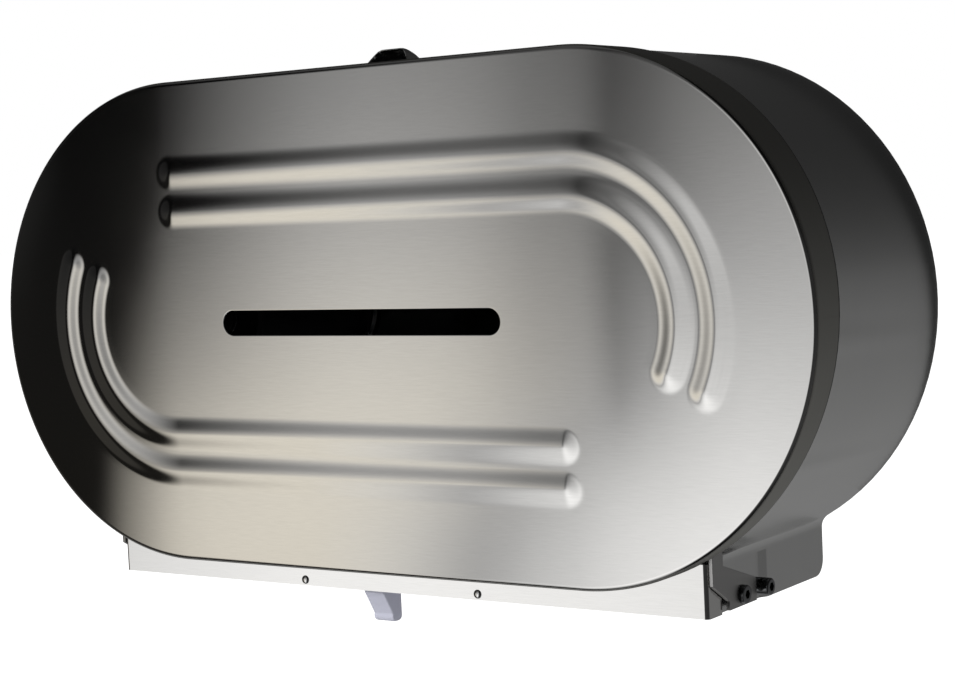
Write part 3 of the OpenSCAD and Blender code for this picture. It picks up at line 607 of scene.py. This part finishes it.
# %% The cover sheet
cover_low, cover_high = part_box("door_cover")
SHEET = 1.2 * MM
FRONT_ROOM = 3 * MM
CROWN = 2.5 * MM
RIB_HEIGHT = 0.95 * MM
RIB_WIDTH = 20 * MM
RIB_REACHES = (62.4 * MM, 84 * MM)
RIB_TAIL = math.radians(24)
RIB_END = 126 * MM
BEND = 2.6 * MM
EDGE = 0.3 * MM
ROLLED = 2.2 * MM
SLOT_LENGTH = 184 * MM
SLOT_HEIGHT = 13.5 * MM
END_R = cover_high.z
END_X = cover_high.x - END_R
FACE_Y = cover_low.y + FRONT_ROOM
RIM_MID = 25 * MM
RIM_LEAN = (cover_high.y - FACE_Y - RIM_MID) / END_R
FINE_STEPS = [i * MM for i in range(11)]
COARSE_STEPS = [(12 + 14 * i) * MM for i in range(9)]


def run_places():
    """Places along a straight run, from -1 to 1, close together near both ends."""
    near = [step / END_X for step in FINE_STEPS + COARSE_STEPS]
    left = [-1 + step for step in near]
    return left + [0] + [-place for place in reversed(left)]


RUN = run_places()
ARC = [math.radians(90 - a) for a in range(1, 180)]


def stadium(half, radius, y):
    """A loop about a middle line. y is a depth, or a function that gives it from x and z."""
    depth = y if callable(y) else (lambda x, z: y)
    outline = [(half * place, radius) for place in RUN]
    outline += [(half + radius * math.cos(a), radius * math.sin(a)) for a in ARC]
    outline += [(-x, -z) for x, z in outline]
    return [(x, depth(x, z), z) for x, z in outline]


def seam(shift):
    """The rim's slanting rear edge, moved forward by the shift."""
    return lambda x, z: FACE_Y + RIM_MID + RIM_LEAN * z - shift


def crowned(shift):
    """The face's depth: it is pressed slightly forward in the middle, and then moved back."""
    def depth(x, z):
        reach = math.hypot(max(abs(x) - END_X, 0), z) / (END_R - BEND)
        return FACE_Y - CROWN * max(1 - reach ** 2, 0) + shift
    return depth


def face_reaches(steps):
    """Distances from the middle line for the loops of a face, with so many over each rib."""
    places = []
    for reach in RIB_REACHES:
        low = reach - RIB_WIDTH / 2 - 0.3 * MM
        places += [low + (2 * (reach - low)) * i / steps for i in range(steps + 1)]
    return places


def middle_loops(shift):
    """Loops between the slot and the ribs, which grow from the slot's shape to the cover's."""
    slot_half = (SLOT_LENGTH - SLOT_HEIGHT) / 2
    loops = []
    for i in range(1, 9):
        share = i / 8
        half = slot_half + (END_X - slot_half) * share
        loops.append(stadium(half, (8 + 40 * share) * MM, crowned(shift)))
    return loops


def cover_loops():
    slot_half = (SLOT_LENGTH - SLOT_HEIGHT) / 2
    slot_r = SLOT_HEIGHT / 2
    bend_r = END_R - BEND
    bend_y = FACE_Y + BEND
    loops = [stadium(slot_half, slot_r, crowned(depth)) for depth in (SHEET - EDGE, EDGE)]
    for a in (30, 60, 90):
        turn = math.radians(a)
        loops.append(stadium(slot_half, slot_r + EDGE * (1 - math.cos(turn)),
                             crowned(EDGE * (1 - math.sin(turn)))))
    loops += [stadium(slot_half, slot_r + 2 * EDGE, crowned(0))] + middle_loops(0)
    outer = [bend_r - step * MM for step in (35, 30, 25, 20, 15, 10, 5, 2)] + [bend_r - EDGE]
    loops += [stadium(END_X, d, crowned(0)) for d in face_reaches(26) + outer]
    for a in range(0, 91, 15):
        turn = math.radians(a)
        loops.append(stadium(END_X, bend_r + BEND * math.sin(turn), bend_y - BEND * math.cos(turn)))
    loops.append(stadium(END_X, END_R, bend_y + EDGE))
    rear_edge = ((0, ROLLED + EDGE), (0, ROLLED), (0.12 * MM, ROLLED / 2), (0.5 * MM, EDGE / 2),
                 (0.8 * MM, 0), (SHEET - 0.1 * MM, 0), (SHEET, EDGE))
    loops += [stadium(END_X, END_R - inward, seam(shift)) for inward, shift in rear_edge]
    loops.append(stadium(END_X, END_R - SHEET, bend_y + EDGE))
    for a in (90, 60, 30, 0):
        turn = math.radians(a)
        r = BEND - SHEET
        loops.append(stadium(END_X, bend_r + r * math.sin(turn), bend_y - r * math.cos(turn)))
    inside = [bend_r - EDGE, bend_r - 12 * MM, bend_r - 24 * MM] + list(reversed(face_reaches(14)))
    loops += [stadium(END_X, d, crowned(SHEET)) for d in inside]
    loops += list(reversed(middle_loops(SHEET)))
    return loops


cover = skin("cover_panel", cover_loops(), joined_round=True)
print("cover sheet:", triangles(cover), "triangles, face at", round(FACE_Y / MM, 1), "mm")

# %% [markdown]
# The ribs are pressed outwards from behind, and they are what stiffens the flat face. Two of
# them follow the upper run and wind round the right end, and the other two are the same pair
# turned half round. Geometry Nodes draw their middle lines once, with named sizes, and lift
# every point of the sheet by its distance from the nearest line. A smooth step gives the soft
# foot and the round crest of a pressed rib.

# %% The pressed ribs
FLOAT = "NodeSocketFloat"


def empty_tree(name, inputs, result):
    """A Geometry Nodes tree with named inputs, and the identifier of each of them."""
    tree = bpy.data.node_groups.new(name, "GeometryNodeTree")
    sockets = {}
    for label, kind in inputs:
        socket = tree.interface.new_socket(name=label, in_out="INPUT", socket_type=kind)
        sockets[label] = socket.identifier
    tree.interface.new_socket(name=result, in_out="OUTPUT", socket_type="NodeSocketGeometry")
    return tree, sockets, add(tree, "NodeGroupInput").outputs


def rib_tree():
    tree, sockets, given = empty_tree("pressed_ribs", (
        ("Sheet", "NodeSocketGeometry"), ("Line Half", FLOAT), ("Free End", FLOAT), ("Inner Reach", FLOAT),
        ("Outer Reach", FLOAT), ("Tail", FLOAT), ("Rib Width", FLOAT), ("Rib Height", FLOAT),
        ("Face", FLOAT), ("Finish", "NodeSocketMaterial")), "Sheet")
    half_line, face = given["Line Half"], given["Face"]
    to_left = number(tree, "MULTIPLY", given["Free End"], -1)
    end = add(tree, "ShaderNodeCombineXYZ", {"X": half_line, "Y": face})
    tail_start = number(tree, "MULTIPLY", given["Tail"], -1)
    sweep = number(tree, "ADD", given["Tail"], math.pi / 2)
    lines = add(tree, "GeometryNodeJoinGeometry")
    for reach in (given["Inner Reach"], given["Outer Reach"]):
        start = add(tree, "ShaderNodeCombineXYZ", {"X": to_left, "Y": face, "Z": reach})
        stop = add(tree, "ShaderNodeCombineXYZ", {"X": half_line, "Y": face, "Z": reach})
        run = add(tree, "GeometryNodeCurvePrimitiveLine", {
            "Start": start.outputs[0], "End": stop.outputs[0]})
        bend = add(tree, "GeometryNodeCurveArc", {
            "Resolution": 160, "Radius": reach, "Start Angle": tail_start, "Sweep Angle": sweep})
        bend = add(tree, "GeometryNodeTransform", {
            "Geometry": bend.outputs[0], "Translation": end.outputs[0], "Rotation": (math.pi / 2, 0, 0)})
        tree.links.new(run.outputs[0], lines.inputs[0])
        tree.links.new(bend.outputs[0], lines.inputs[0])
    pair = add(tree, "GeometryNodeCurveToMesh", {"Curve": lines.outputs[0]})
    turned = add(tree, "GeometryNodeTransform", {"Geometry": pair.outputs[0], "Rotation": (0, math.pi, 0)})
    paths = add(tree, "GeometryNodeJoinGeometry")
    tree.links.new(pair.outputs[0], paths.inputs[0])
    tree.links.new(turned.outputs[0], paths.inputs[0])
    place = add(tree, "ShaderNodeSeparateXYZ", {0: add(tree, "GeometryNodeInputPosition").outputs[0]})
    on_face = add(tree, "ShaderNodeCombineXYZ", {
        "X": place.outputs["X"], "Y": face, "Z": place.outputs["Z"]})
    near = add(tree, "GeometryNodeProximity", {0: paths.outputs[0], "Sample Position": on_face.outputs[0]},
               target_element="EDGES")
    half = number(tree, "MULTIPLY", given["Rib Width"], 0.5)
    height = add(tree, "ShaderNodeMapRange", {
        "Value": near.outputs["Distance"], "From Min": half, "From Max": 0.0,
        "To Min": 0.0, "To Max": given["Rib Height"]}, interpolation_type="SMOOTHSTEP")
    forward = number(tree, "MULTIPLY", height.outputs[0], -1)
    push = add(tree, "ShaderNodeCombineXYZ", {"Y": forward})
    pressed = add(tree, "GeometryNodeSetPosition", {"Geometry": given["Sheet"], "Offset": push.outputs[0]})
    whole = add(tree, "GeometryNodeRealizeInstances", {"Geometry": pressed.outputs[0]})
    finished = add(tree, "GeometryNodeSetMaterial", {
        "Geometry": whole.outputs[0], "Material": given["Finish"]})
    add(tree, "NodeGroupOutput", {"Sheet": finished.outputs[0]})
    return tree, sockets


def press_ribs(sheet):
    tree, sockets = rib_tree()
    press = sheet.modifiers.new("pressed_ribs", "NODES")
    press.node_group = tree
    sizes = (("Line Half", END_X), ("Free End", RIB_END), ("Inner Reach", RIB_REACHES[0]),
             ("Outer Reach", RIB_REACHES[1]), ("Tail", RIB_TAIL), ("Rib Width", RIB_WIDTH),
             ("Rib Height", RIB_HEIGHT), ("Face", FACE_Y), ("Finish", cover_steel))
    for name, value in sizes:
        press[sockets[name]] = value
    return settle(sheet)


press_ribs(cover)
print("ribs:", 2 * len(RIB_REACHES), "at", [round(reach / MM, 1) for reach in RIB_REACHES], "mm")

# %% [markdown]
# The rim is the same sheet as the face, bent back, and its surface is duller, so it mirrors
# only softly; its colour is painted darker than the face's, as painted shade. Its last two
# millimetres at the rear are rolled inwards, dull, and painted near black, as painted shade
# along the rear edge.
# Two more materials on the same mesh do it: each polygon takes its finish from its place.

# %% The rim's finish and its painted shade
RIM_STARTS = FACE_Y + 0.3 * BEND
ROLLED_OUTSIDE = 0.9 * MM


def finish_rim(sheet):
    sheet.data.materials.append(rim_steel_painted_shade)
    sheet.data.materials.append(rim_edge_painted_shade_steel)
    for face in sheet.data.polygons:
        x, y, z = face.center
        if abs(face.normal.y) < 0.75 and y > RIM_STARTS:
            behind = y > FACE_Y + RIM_MID + RIM_LEAN * z - ROLLED
            outside = math.hypot(max(abs(x) - END_X, 0), z) > END_R - ROLLED_OUTSIDE
            # Index 1 is the rim's steel with painted shade in its colour, index 2 the rear edge painted
            # near black as painted shade.
            face.material_index = 2 if behind and outside else 1


finish_rim(cover)
shade(cover)
hand_over(cover, "door", "cover_steel", "door_cover")

# %% [markdown]
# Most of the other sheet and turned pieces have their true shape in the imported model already.
# What they lack is the tiny round that every real edge has, which catches the light. Each one
# is copied, its loose triangles are merged, its flats are made whole, and a fine bevel goes
# along its sharp edges.

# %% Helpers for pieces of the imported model
MERGE = 0.002 * MM
FLAT = math.radians(0.5)
BEVEL_ANGLE = math.radians(36)
# A flat is large from 60 square millimetres, unless it is a long and slender strip.
LARGE_FLAT = 60 * MM * MM
SLENDER = 0.1


def plain_copy(node):
    """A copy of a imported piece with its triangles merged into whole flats."""
    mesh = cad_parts[node].data.copy()
    solid = bmesh.new()
    solid.from_mesh(mesh)
    bmesh.ops.remove_doubles(solid, verts=solid.verts, dist=MERGE)
    bmesh.ops.dissolve_limit(solid, angle_limit=FLAT, verts=solid.verts, edges=solid.edges)
    solid.to_mesh(mesh)
    solid.free()
    piece = bpy.data.objects.new(node + "_finished", mesh)
    bpy.context.scene.collection.objects.link(piece)
    return piece


def corner_normals(mesh):
    return [corner.vector.copy() for corner in mesh.corner_normals]


def round_edges(piece, width):
    bevel = piece.modifiers.new("round_edges", "BEVEL")
    bevel.width = width
    bevel.segments = 2
    bevel.limit_method = "ANGLE"
    bevel.angle_limit = BEVEL_ANGLE
    settle(piece)


def keep_flats(piece):
    """Shades a piece smoothly round its bevels, and keeps every large flat quite flat."""
    shade(piece)
    flats = piece.modifiers.new("flat_shading", "WEIGHTED_NORMAL")
    flats.keep_sharp = True
    settle(piece)
    mesh = piece.data
    normals = corner_normals(mesh)
    for face in mesh.polygons:
        longest = max((mesh.vertices[a].co - mesh.vertices[b].co).length for a, b in face.edge_keys)
        if face.area > max(LARGE_FLAT, SLENDER * longest ** 2):
            for i in face.loop_indices:
                normals[i] = face.normal.copy()
    mesh.normals_split_custom_set(normals)


def finish(piece, material, bevel):
    """Rounds the edges by so many millimetres, and gives the piece its material."""
    piece.data.materials.clear()
    piece.data.materials.append(material)
    if bevel:
        round_edges(piece, bevel * MM)
    keep_flats(piece)
    return piece


print("packed pieces to choose from:", len(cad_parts))

# %% [markdown]
# The hood over the lock was pressed out of the shell's top like a louvre: round shoulders,
# open in front, sloping down to the shell behind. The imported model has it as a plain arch. A
# modelled piece could stand on top of it, but then its edge would show. So the arch itself is
# cut into narrow strips here, and each corner is moved to where the louvre's surface is.

# %% The lock hood
HOUSE_R = 134 * MM
HOOD_FOOT = HOUSE_R
HOOD_FRONT = -107.7 * MM
HOOD_LENGTH = 18 * MM
HOOD_HALF = 25 * MM
HOOD_RISE = 10.2 * MM
HOOD_SHIFT = 4.2 * MM
# Each half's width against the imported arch's, and the shares of a half that are the flat crown
# and the shoulder.
HOOD_LEFT = 0.96
HOOD_RIGHT = 0.74
CROWN_SHARE = 0.30
SHOULDER_SHARE = 0.56
# The share of the rise that is lost at the back, and the share of the sheet's thickness that
# the front lip keeps.
BACK_SLOPE = 0.75
LIP_SHARE = 0.4
HOOD_BEHIND = -89 * MM
# Where the arch is cut, in millimetres from its middle and from its front.
CROSS_CUTS = range(-24, 25, 2)
BACK_CUTS = (1.5, 4, 6.5, 9, 11.5, 14, 16)
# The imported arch's height at some distances from its middle, in millimetres.
PACKED_ARCH = ((0, 11), (8, 11), (10.1, 10.5), (12.2, 9.3), (14.4, 7.5), (18.6, 3.5), (20.7, 1.7),
               (22.9, 0.5), (25, 0))


def packed_height(x):
    """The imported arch's outer height over the shell at a distance from its middle, in metres."""
    at = min(abs(x), HOOD_HALF) / MM
    for (x0, z0), (x1, z1) in zip(PACKED_ARCH, PACKED_ARCH[1:]):
        if at <= x1:
            return (z0 + (z1 - z0) * (at - x0) / (x1 - x0)) * MM
    return 0


def louvre(x, y, z):
    """Where a corner of the arch goes on the louvre."""
    inside = HOOD_FOOT + packed_height(x) - z
    share = min(abs(x) / HOOD_HALF, 1)
    bump = 1 - min(max(share - CROWN_SHARE, 0) / SHOULDER_SHARE, 1)
    bump = bump * bump * (3 - 2 * bump)
    back = min(max((y - HOOD_FRONT) / HOOD_LENGTH, 0), 1)
    rise = HOOD_RISE * bump * (1 - BACK_SLOPE * back * back)
    if inside > 0.3 * MM:
        rise -= inside * (LIP_SHARE if back < 0.05 else 1)
    side = HOOD_LEFT if x < 0 else HOOD_RIGHT
    return x * side + HOOD_SHIFT * bump, y, HOOD_FOOT + max(rise, 0)


def with_rims(faces):
    """Faces with their edges and corners, as a cut wants them."""
    edges = {e for f in faces for e in f.edges}
    return faces + list(edges) + list({v for f in faces for v in f.verts})


def hood_faces(solid):
    top = HOOD_FOOT + 0.3 * MM
    return [f for f in solid.faces
            if max(v.co.z for v in f.verts) > top and f.calc_center_median().y < HOOD_BEHIND]


def press_hood(mesh):
    solid = bmesh.new()
    solid.from_mesh(mesh)
    cuts = [((x * MM, 0, 0), (1, 0, 0)) for x in CROSS_CUTS]
    cuts += [((0, HOOD_FRONT + back * MM, 0), (0, 1, 0)) for back in BACK_CUTS]
    for place, way in cuts:
        bmesh.ops.bisect_plane(solid, geom=with_rims(hood_faces(solid)), dist=1e-6,
                               plane_co=place, plane_no=way)
    moved = 0
    for vertex in solid.verts:
        on_hood = vertex.co.y <= HOOD_FRONT + HOOD_LENGTH + 0.1 * MM
        if on_hood and vertex.co.z >= HOOD_FOOT + 0.2 * MM:
            vertex.co = louvre(*vertex.co)
            moved += 1
    solid.to_mesh(mesh)
    solid.free()
    return moved


shell = plain_copy("body_wrap")
print("hood: moved", press_hood(shell.data), "corners")

# %% [markdown]
# The shell's sheets meet in a butt joint, and a fine line of it shows across the right round
# end. A shallow groove in the mesh gives that line in any light. After the bevel, the round
# ends get the exact normals of their true cylinder, because a mirror shows every facet.

# %% The seam and the shell's shading
SEAM_Z = 9 * MM
SEAM_HALF = 0.25 * MM
SEAM_DEPTH = 0.03 * MM
SEAM_BEYOND = 263.4 * MM
ROUND_END = 200 * MM


def cut_seam(mesh):
    solid = bmesh.new()
    solid.from_mesh(mesh)
    for z in (SEAM_Z - SEAM_HALF, SEAM_Z, SEAM_Z + SEAM_HALF):
        near = [f for f in solid.faces if f.calc_center_median().x > ROUND_END]
        bmesh.ops.bisect_plane(solid, geom=with_rims(near), dist=1e-6, plane_co=(0, 0, z),
                               plane_no=(0, 0, 1))
    for vertex in solid.verts:
        if abs(vertex.co.z - SEAM_Z) < 0.01 * MM and vertex.co.x > SEAM_BEYOND:
            vertex.co.x -= SEAM_DEPTH
    solid.to_mesh(mesh)
    solid.free()


def round_normals(piece, radius):
    """Gives the shell's top and round ends the exact normals of their true shape."""
    mesh = piece.data
    normals = corner_normals(mesh)
    for face in mesh.polygons:
        for i in face.loop_indices:
            spot = mesh.vertices[mesh.loops[i].vertex_index].co
            out = Vector((spot.x - max(-END_X, min(END_X, spot.x)), 0, spot.z))
            off = min(abs(out.length - radius), abs(out.length - radius + SHEET))
            if off < 0.1 * MM and abs(face.normal.dot(out.normalized())) > 0.985:
                normals[i] = out.normalized() * (1 if face.normal.dot(out) > 0 else -1)
    mesh.normals_split_custom_set(normals)


cut_seam(shell.data)
finish(shell, housing_steel, 0.2)
round_normals(shell, HOUSE_R)
hand_over(shell, "housing", "housing_steel", "body_wrap")

# %% [markdown]
# The rest of the sheet metal, the shutter, the hubs and the bolt only need their edges rounded
# and their finish. Two things are touched up. The hinge arms' feet are a little shorter on the
# real object. The rail isn't quite parallel to the face, so it mirrors what is lower and
# further right, and its shading leans that way while its mesh stays where it is.

# %% The other finished pieces
ARM_FOOT = -146.4 * MM
ARM_LIFT = 0.8 * MM
RAIL_DOWN = math.radians(5)
RAIL_ASIDE = math.radians(7)
# Each has its body, the slot of its finish, its material, and its edges' round in millimetres.
COPIES = (
    ("back_plate", "housing", "housing_steel", housing_steel, 0.2),
    ("bottom_panel", "housing", "cover_steel", cover_steel, 0.15),
    ("front_rail", "housing", "cover_steel", cover_steel, 0.25),
    ("shutter_guides", "housing", "hardware_steel", hardware_steel, 0.2),
    ("spindle_left", "housing", "hardware_steel", hardware_steel, 0.3),
    ("spindle_right", "housing", "hardware_steel", hardware_steel, 0.3),
    ("lock_guide", "housing", "hardware_steel", hardware_steel, 0.2),
    ("hinge_arm_left", "door", "cover_steel", arm_steel_painted_shade, 0.6),
    ("hinge_arm_right", "door", "cover_steel", arm_steel_painted_shade, 0.6),
    ("strike_plate", "door", "hardware_steel", hardware_steel, 0.2),
    ("shutter", "shutter", "grey_plastic", grey_plastic, 0.9),
    ("hub_left", "hub_left", "black_plastic", black_plastic, 0.3),
    ("hub_right", "hub_right", "black_plastic", black_plastic, 0.3),
    ("lock_bolt", "lock_bolt", "hardware_steel", hardware_steel, 0.4),
)


def shorten_arm(mesh):
    for vertex in mesh.vertices:
        if vertex.co.z < ARM_FOOT:
            vertex.co.z += ARM_LIFT


def lean_normals(mesh, down, aside):
    """Turns the shading of what faces ahead, by so much down and to the right."""
    normals = corner_normals(mesh)
    turn = Matrix.Rotation(aside, 3, "Z") @ Matrix.Rotation(down, 3, "X")
    for face in mesh.polygons:
        if face.normal.y < -0.9:
            for i in face.loop_indices:
                if normals[i].y < -0.9:
                    normals[i] = turn @ normals[i]
    mesh.normals_split_custom_set(normals)


for node, body, slot, material, bevel in COPIES:
    piece = plain_copy(node)
    if node.startswith("hinge_arm"):
        shorten_arm(piece.data)
    finish(piece, material, bevel)
    if node == "front_rail":
        lean_normals(piece.data, RAIL_DOWN, RAIL_ASIDE)
    hand_over(piece, body, slot, node)

# %% [markdown]
# The screws, nuts, rivets, washers and caps are bought parts: one shape, used several times.
# Each shape is made once, standing on its own axis. Geometry Nodes put a copy on every spot
# and turn it to the way that the spot faces, make the copies real and give them their finish.

# %% Copies on their spots
def placing_tree():
    tree, sockets, given = empty_tree("placed_copies", (
        ("Spots", "NodeSocketGeometry"), ("Shape", "NodeSocketObject"),
        ("Finish", "NodeSocketMaterial")), "Hardware")
    shape = add(tree, "GeometryNodeObjectInfo", {"Object": given["Shape"]})
    way = add(tree, "GeometryNodeInputNamedAttribute", {"Name": "way"}, data_type="FLOAT_VECTOR")
    turn = add(tree, "FunctionNodeAlignRotationToVector", {"Vector": way.outputs[0]}, axis="Z")
    copies = add(tree, "GeometryNodeInstanceOnPoints", {
        "Points": given["Spots"], "Instance": shape.outputs["Geometry"], "Rotation": turn.outputs[0]})
    real = add(tree, "GeometryNodeRealizeInstances", {"Geometry": copies.outputs[0]})
    finished = add(tree, "GeometryNodeSetMaterial", {
        "Geometry": real.outputs[0], "Material": given["Finish"]})
    add(tree, "NodeGroupOutput", {"Hardware": finished.outputs[0]})
    return tree, sockets


PLACING, PLACING_SOCKETS = placing_tree()


def place_copies(node, shape, spots, material):
    """One mesh with a copy of the shape on every (place, way) spot. The shape is then dropped."""
    mesh = bpy.data.meshes.new(node + "_finished")
    mesh.from_pydata([place for place, way in spots], [], [])
    ways = mesh.attributes.new("way", "FLOAT_VECTOR", "POINT")
    ways.data.foreach_set("vector", [value for place, way in spots for value in way])
    piece = bpy.data.objects.new(node + "_finished", mesh)
    bpy.context.scene.collection.objects.link(piece)
    placing = piece.modifiers.new("placed_copies", "NODES")
    placing.node_group = PLACING
    placing[PLACING_SOCKETS["Shape"]] = shape
    placing[PLACING_SOCKETS["Finish"]] = material
    settle(piece)
    bpy.data.objects.remove(shape)
    return piece


print("copies take:", list(PLACING_SOCKETS))

# %% [markdown]
# The pivot and stop screws are shoulder screws, whose smooth shank is what the cover swings on
# and what its arms come to rest on. Each is turned from a profile that runs from its thread's
# end to its head, and then goes down into a hexagonal socket for a 4 mm key. A domed rivet is
# turned the same way. Circles and hexagons have equally many points, so one skin joins them.

# %% Screws and rivets
ROUND_POINTS = 48


def ring(radius, height):
    """A loop round the axis, on a circle."""
    turns = [math.tau * i / ROUND_POINTS for i in range(ROUND_POINTS)]
    return [(radius * math.cos(a), radius * math.sin(a), height) for a in turns]


def hexagon(across_flats, height):
    """A loop round the axis, on a hexagon."""
    loop = []
    for i in range(ROUND_POINTS):
        a = math.tau * i / ROUND_POINTS
        lean = (a + math.pi / 6) % (math.pi / 3) - math.pi / 6
        r = across_flats / 2 / math.cos(lean)
        loop.append((r * math.cos(a), r * math.sin(a), height))
    return loop


def turned(name, profile, socket=0):
    """A turned shape from (radius, height) in millimetres, with a hexagonal socket if it has one."""
    loops = [ring(r * MM, h * MM) for r, h in profile]
    top = profile[-1][1] * MM
    if socket:
        loops += [ring((socket / 2 + 0.75) * MM, top), hexagon((socket + 0.3) * MM, top),
                  hexagon(socket * MM, top - 0.2 * MM), hexagon(socket * MM, top - 1.8 * MM),
                  ring(0.6 * MM, top - 2 * MM)]
    shape = skin(name, loops)
    return shade(shape, math.radians(28))


# Each height is measured from the dispenser's middle plane, or from the wall for the rivet.
PIVOT_SCREW = ((2.2, 185.8), (2.5, 186.1), (2.5, 192), (3, 192), (3, 197.2), (4.5, 197.2), (4.75, 197.4),
               (4.75, 199.1), (4.6, 199.5), (4.2, 199.75), (3.8, 199.8))
STOP_SCREW = ((2.2, 185.8), (2.5, 186.1), (2.5, 192), (4.5, 192), (4.5, 201), (4.35, 201.5), (3.9, 201.9),
              (3.5, 202))
RAIL_RIVET = ((1.5, 125.3), (1.8, 125.6), (1.8, 126.8), (1.6, 126.8), (1.6, 129.5), (2.4, 129.5),
              (2.36, 129.75), (2.1, 130.1), (1.6, 130.4), (1, 130.55), (0.4, 130.6))
RIGHT, LEFT, AHEAD = (1, 0, 0), (-1, 0, 0), (0, -1, 0)
KEY = 4
PIVOT, STOP = (0, -98.4, -140.1), (0, -76.3, -140.1)
RIVET_X, RIVET_Z = 58, -144.2
TURNED = (
    ("pivot_screws", PIVOT_SCREW, KEY, screw_steel, ((PIVOT, RIGHT), (PIVOT, LEFT))),
    ("stop_screws", STOP_SCREW, KEY, screw_steel, ((STOP, RIGHT), (STOP, LEFT))),
    ("rail_rivets", RAIL_RIVET, 0, rivet_steel,
     (((-RIVET_X, 0, RIVET_Z), AHEAD), ((RIVET_X, 0, RIVET_Z), AHEAD))),
)
for node, profile, socket, material, places in TURNED:
    spots = [(Vector(place) * MM, way) for place, way in places]
    piece = place_copies(node, turned(node + "_shape", profile, socket), spots, material)
    hand_over(piece, "housing", "hardware_steel", node)

# %% [markdown]
# The nuts, bushes, washers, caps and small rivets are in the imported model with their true
# shape, several in one node. The first of each node is cut free, brought to the middle and
# finished. The same tree then puts it back on every place where the node had one.

# %% Nuts, bushes, washers, caps and small rivets
def loose_parts(mesh):
    """The vertex numbers of each separate solid in a mesh."""
    solid = bmesh.new()
    solid.from_mesh(mesh)
    left = set(solid.verts)
    parts = []
    while left:
        part, front = set(), [left.pop()]
        while front:
            vertex = front.pop()
            part.add(vertex)
            for edge in vertex.link_edges:
                other = edge.other_vert(vertex)
                if other in left:
                    left.discard(other)
                    front.append(other)
        parts.append(sorted(v.index for v in part))
    solid.free()
    return sorted(parts)


def middle(mesh, part):
    corners = [mesh.vertices[i].co for i in part]
    return Vector([(min(c[k] for c in corners) + max(c[k] for c in corners)) / 2 for k in range(3)])


def repeat_part(node, material, bevel, sideways):
    """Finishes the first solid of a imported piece, and puts copies of it on all its places."""
    piece = plain_copy(node)
    mesh = piece.data
    parts = loose_parts(mesh)
    places = [middle(mesh, part) for part in parts]
    if sideways:
        ways = [Vector((math.copysign(1, place.x), 0, 0)) for place in places]
    else:
        ways = [Vector((0, 0, 1)) for place in places]
    solid = bmesh.new()
    solid.from_mesh(mesh)
    solid.verts.ensure_lookup_table()
    first = set(parts[0])
    bmesh.ops.delete(solid, geom=[v for v in solid.verts if v.index not in first], context="VERTS")
    bmesh.ops.translate(solid, vec=-places[0], verts=solid.verts)
    upright = ways[0].rotation_difference(Vector((0, 0, 1))).to_matrix()
    bmesh.ops.rotate(solid, matrix=upright, verts=solid.verts)
    solid.to_mesh(mesh)
    solid.free()
    finish(piece, material, bevel)
    return place_copies(node, piece, list(zip(places, ways)), material)


# The last value says whether the pieces lie sideways, as those on the screws do.
REPEATED = (
    ("pivot_nuts", "housing", "hardware_steel", hardware_steel, 0.15, True),
    ("stop_nuts", "housing", "hardware_steel", hardware_steel, 0.15, True),
    ("pivot_bushes", "door", "black_plastic", black_plastic, 0.1, True),
    ("spindle_rivets", "housing", "hardware_steel", hardware_steel, 0, False),
    ("spindle_washers", "housing", "hardware_steel", hardware_steel, 0.2, False),
    ("spindle_caps", "housing", "black_plastic", black_plastic, 0.3, False),
    ("lock_rivets", "housing", "hardware_steel", hardware_steel, 0, False),
)
for node, body, slot, material, bevel, sideways in REPEATED:
    hand_over(repeat_part(node, material, bevel, sideways), body, slot, node)
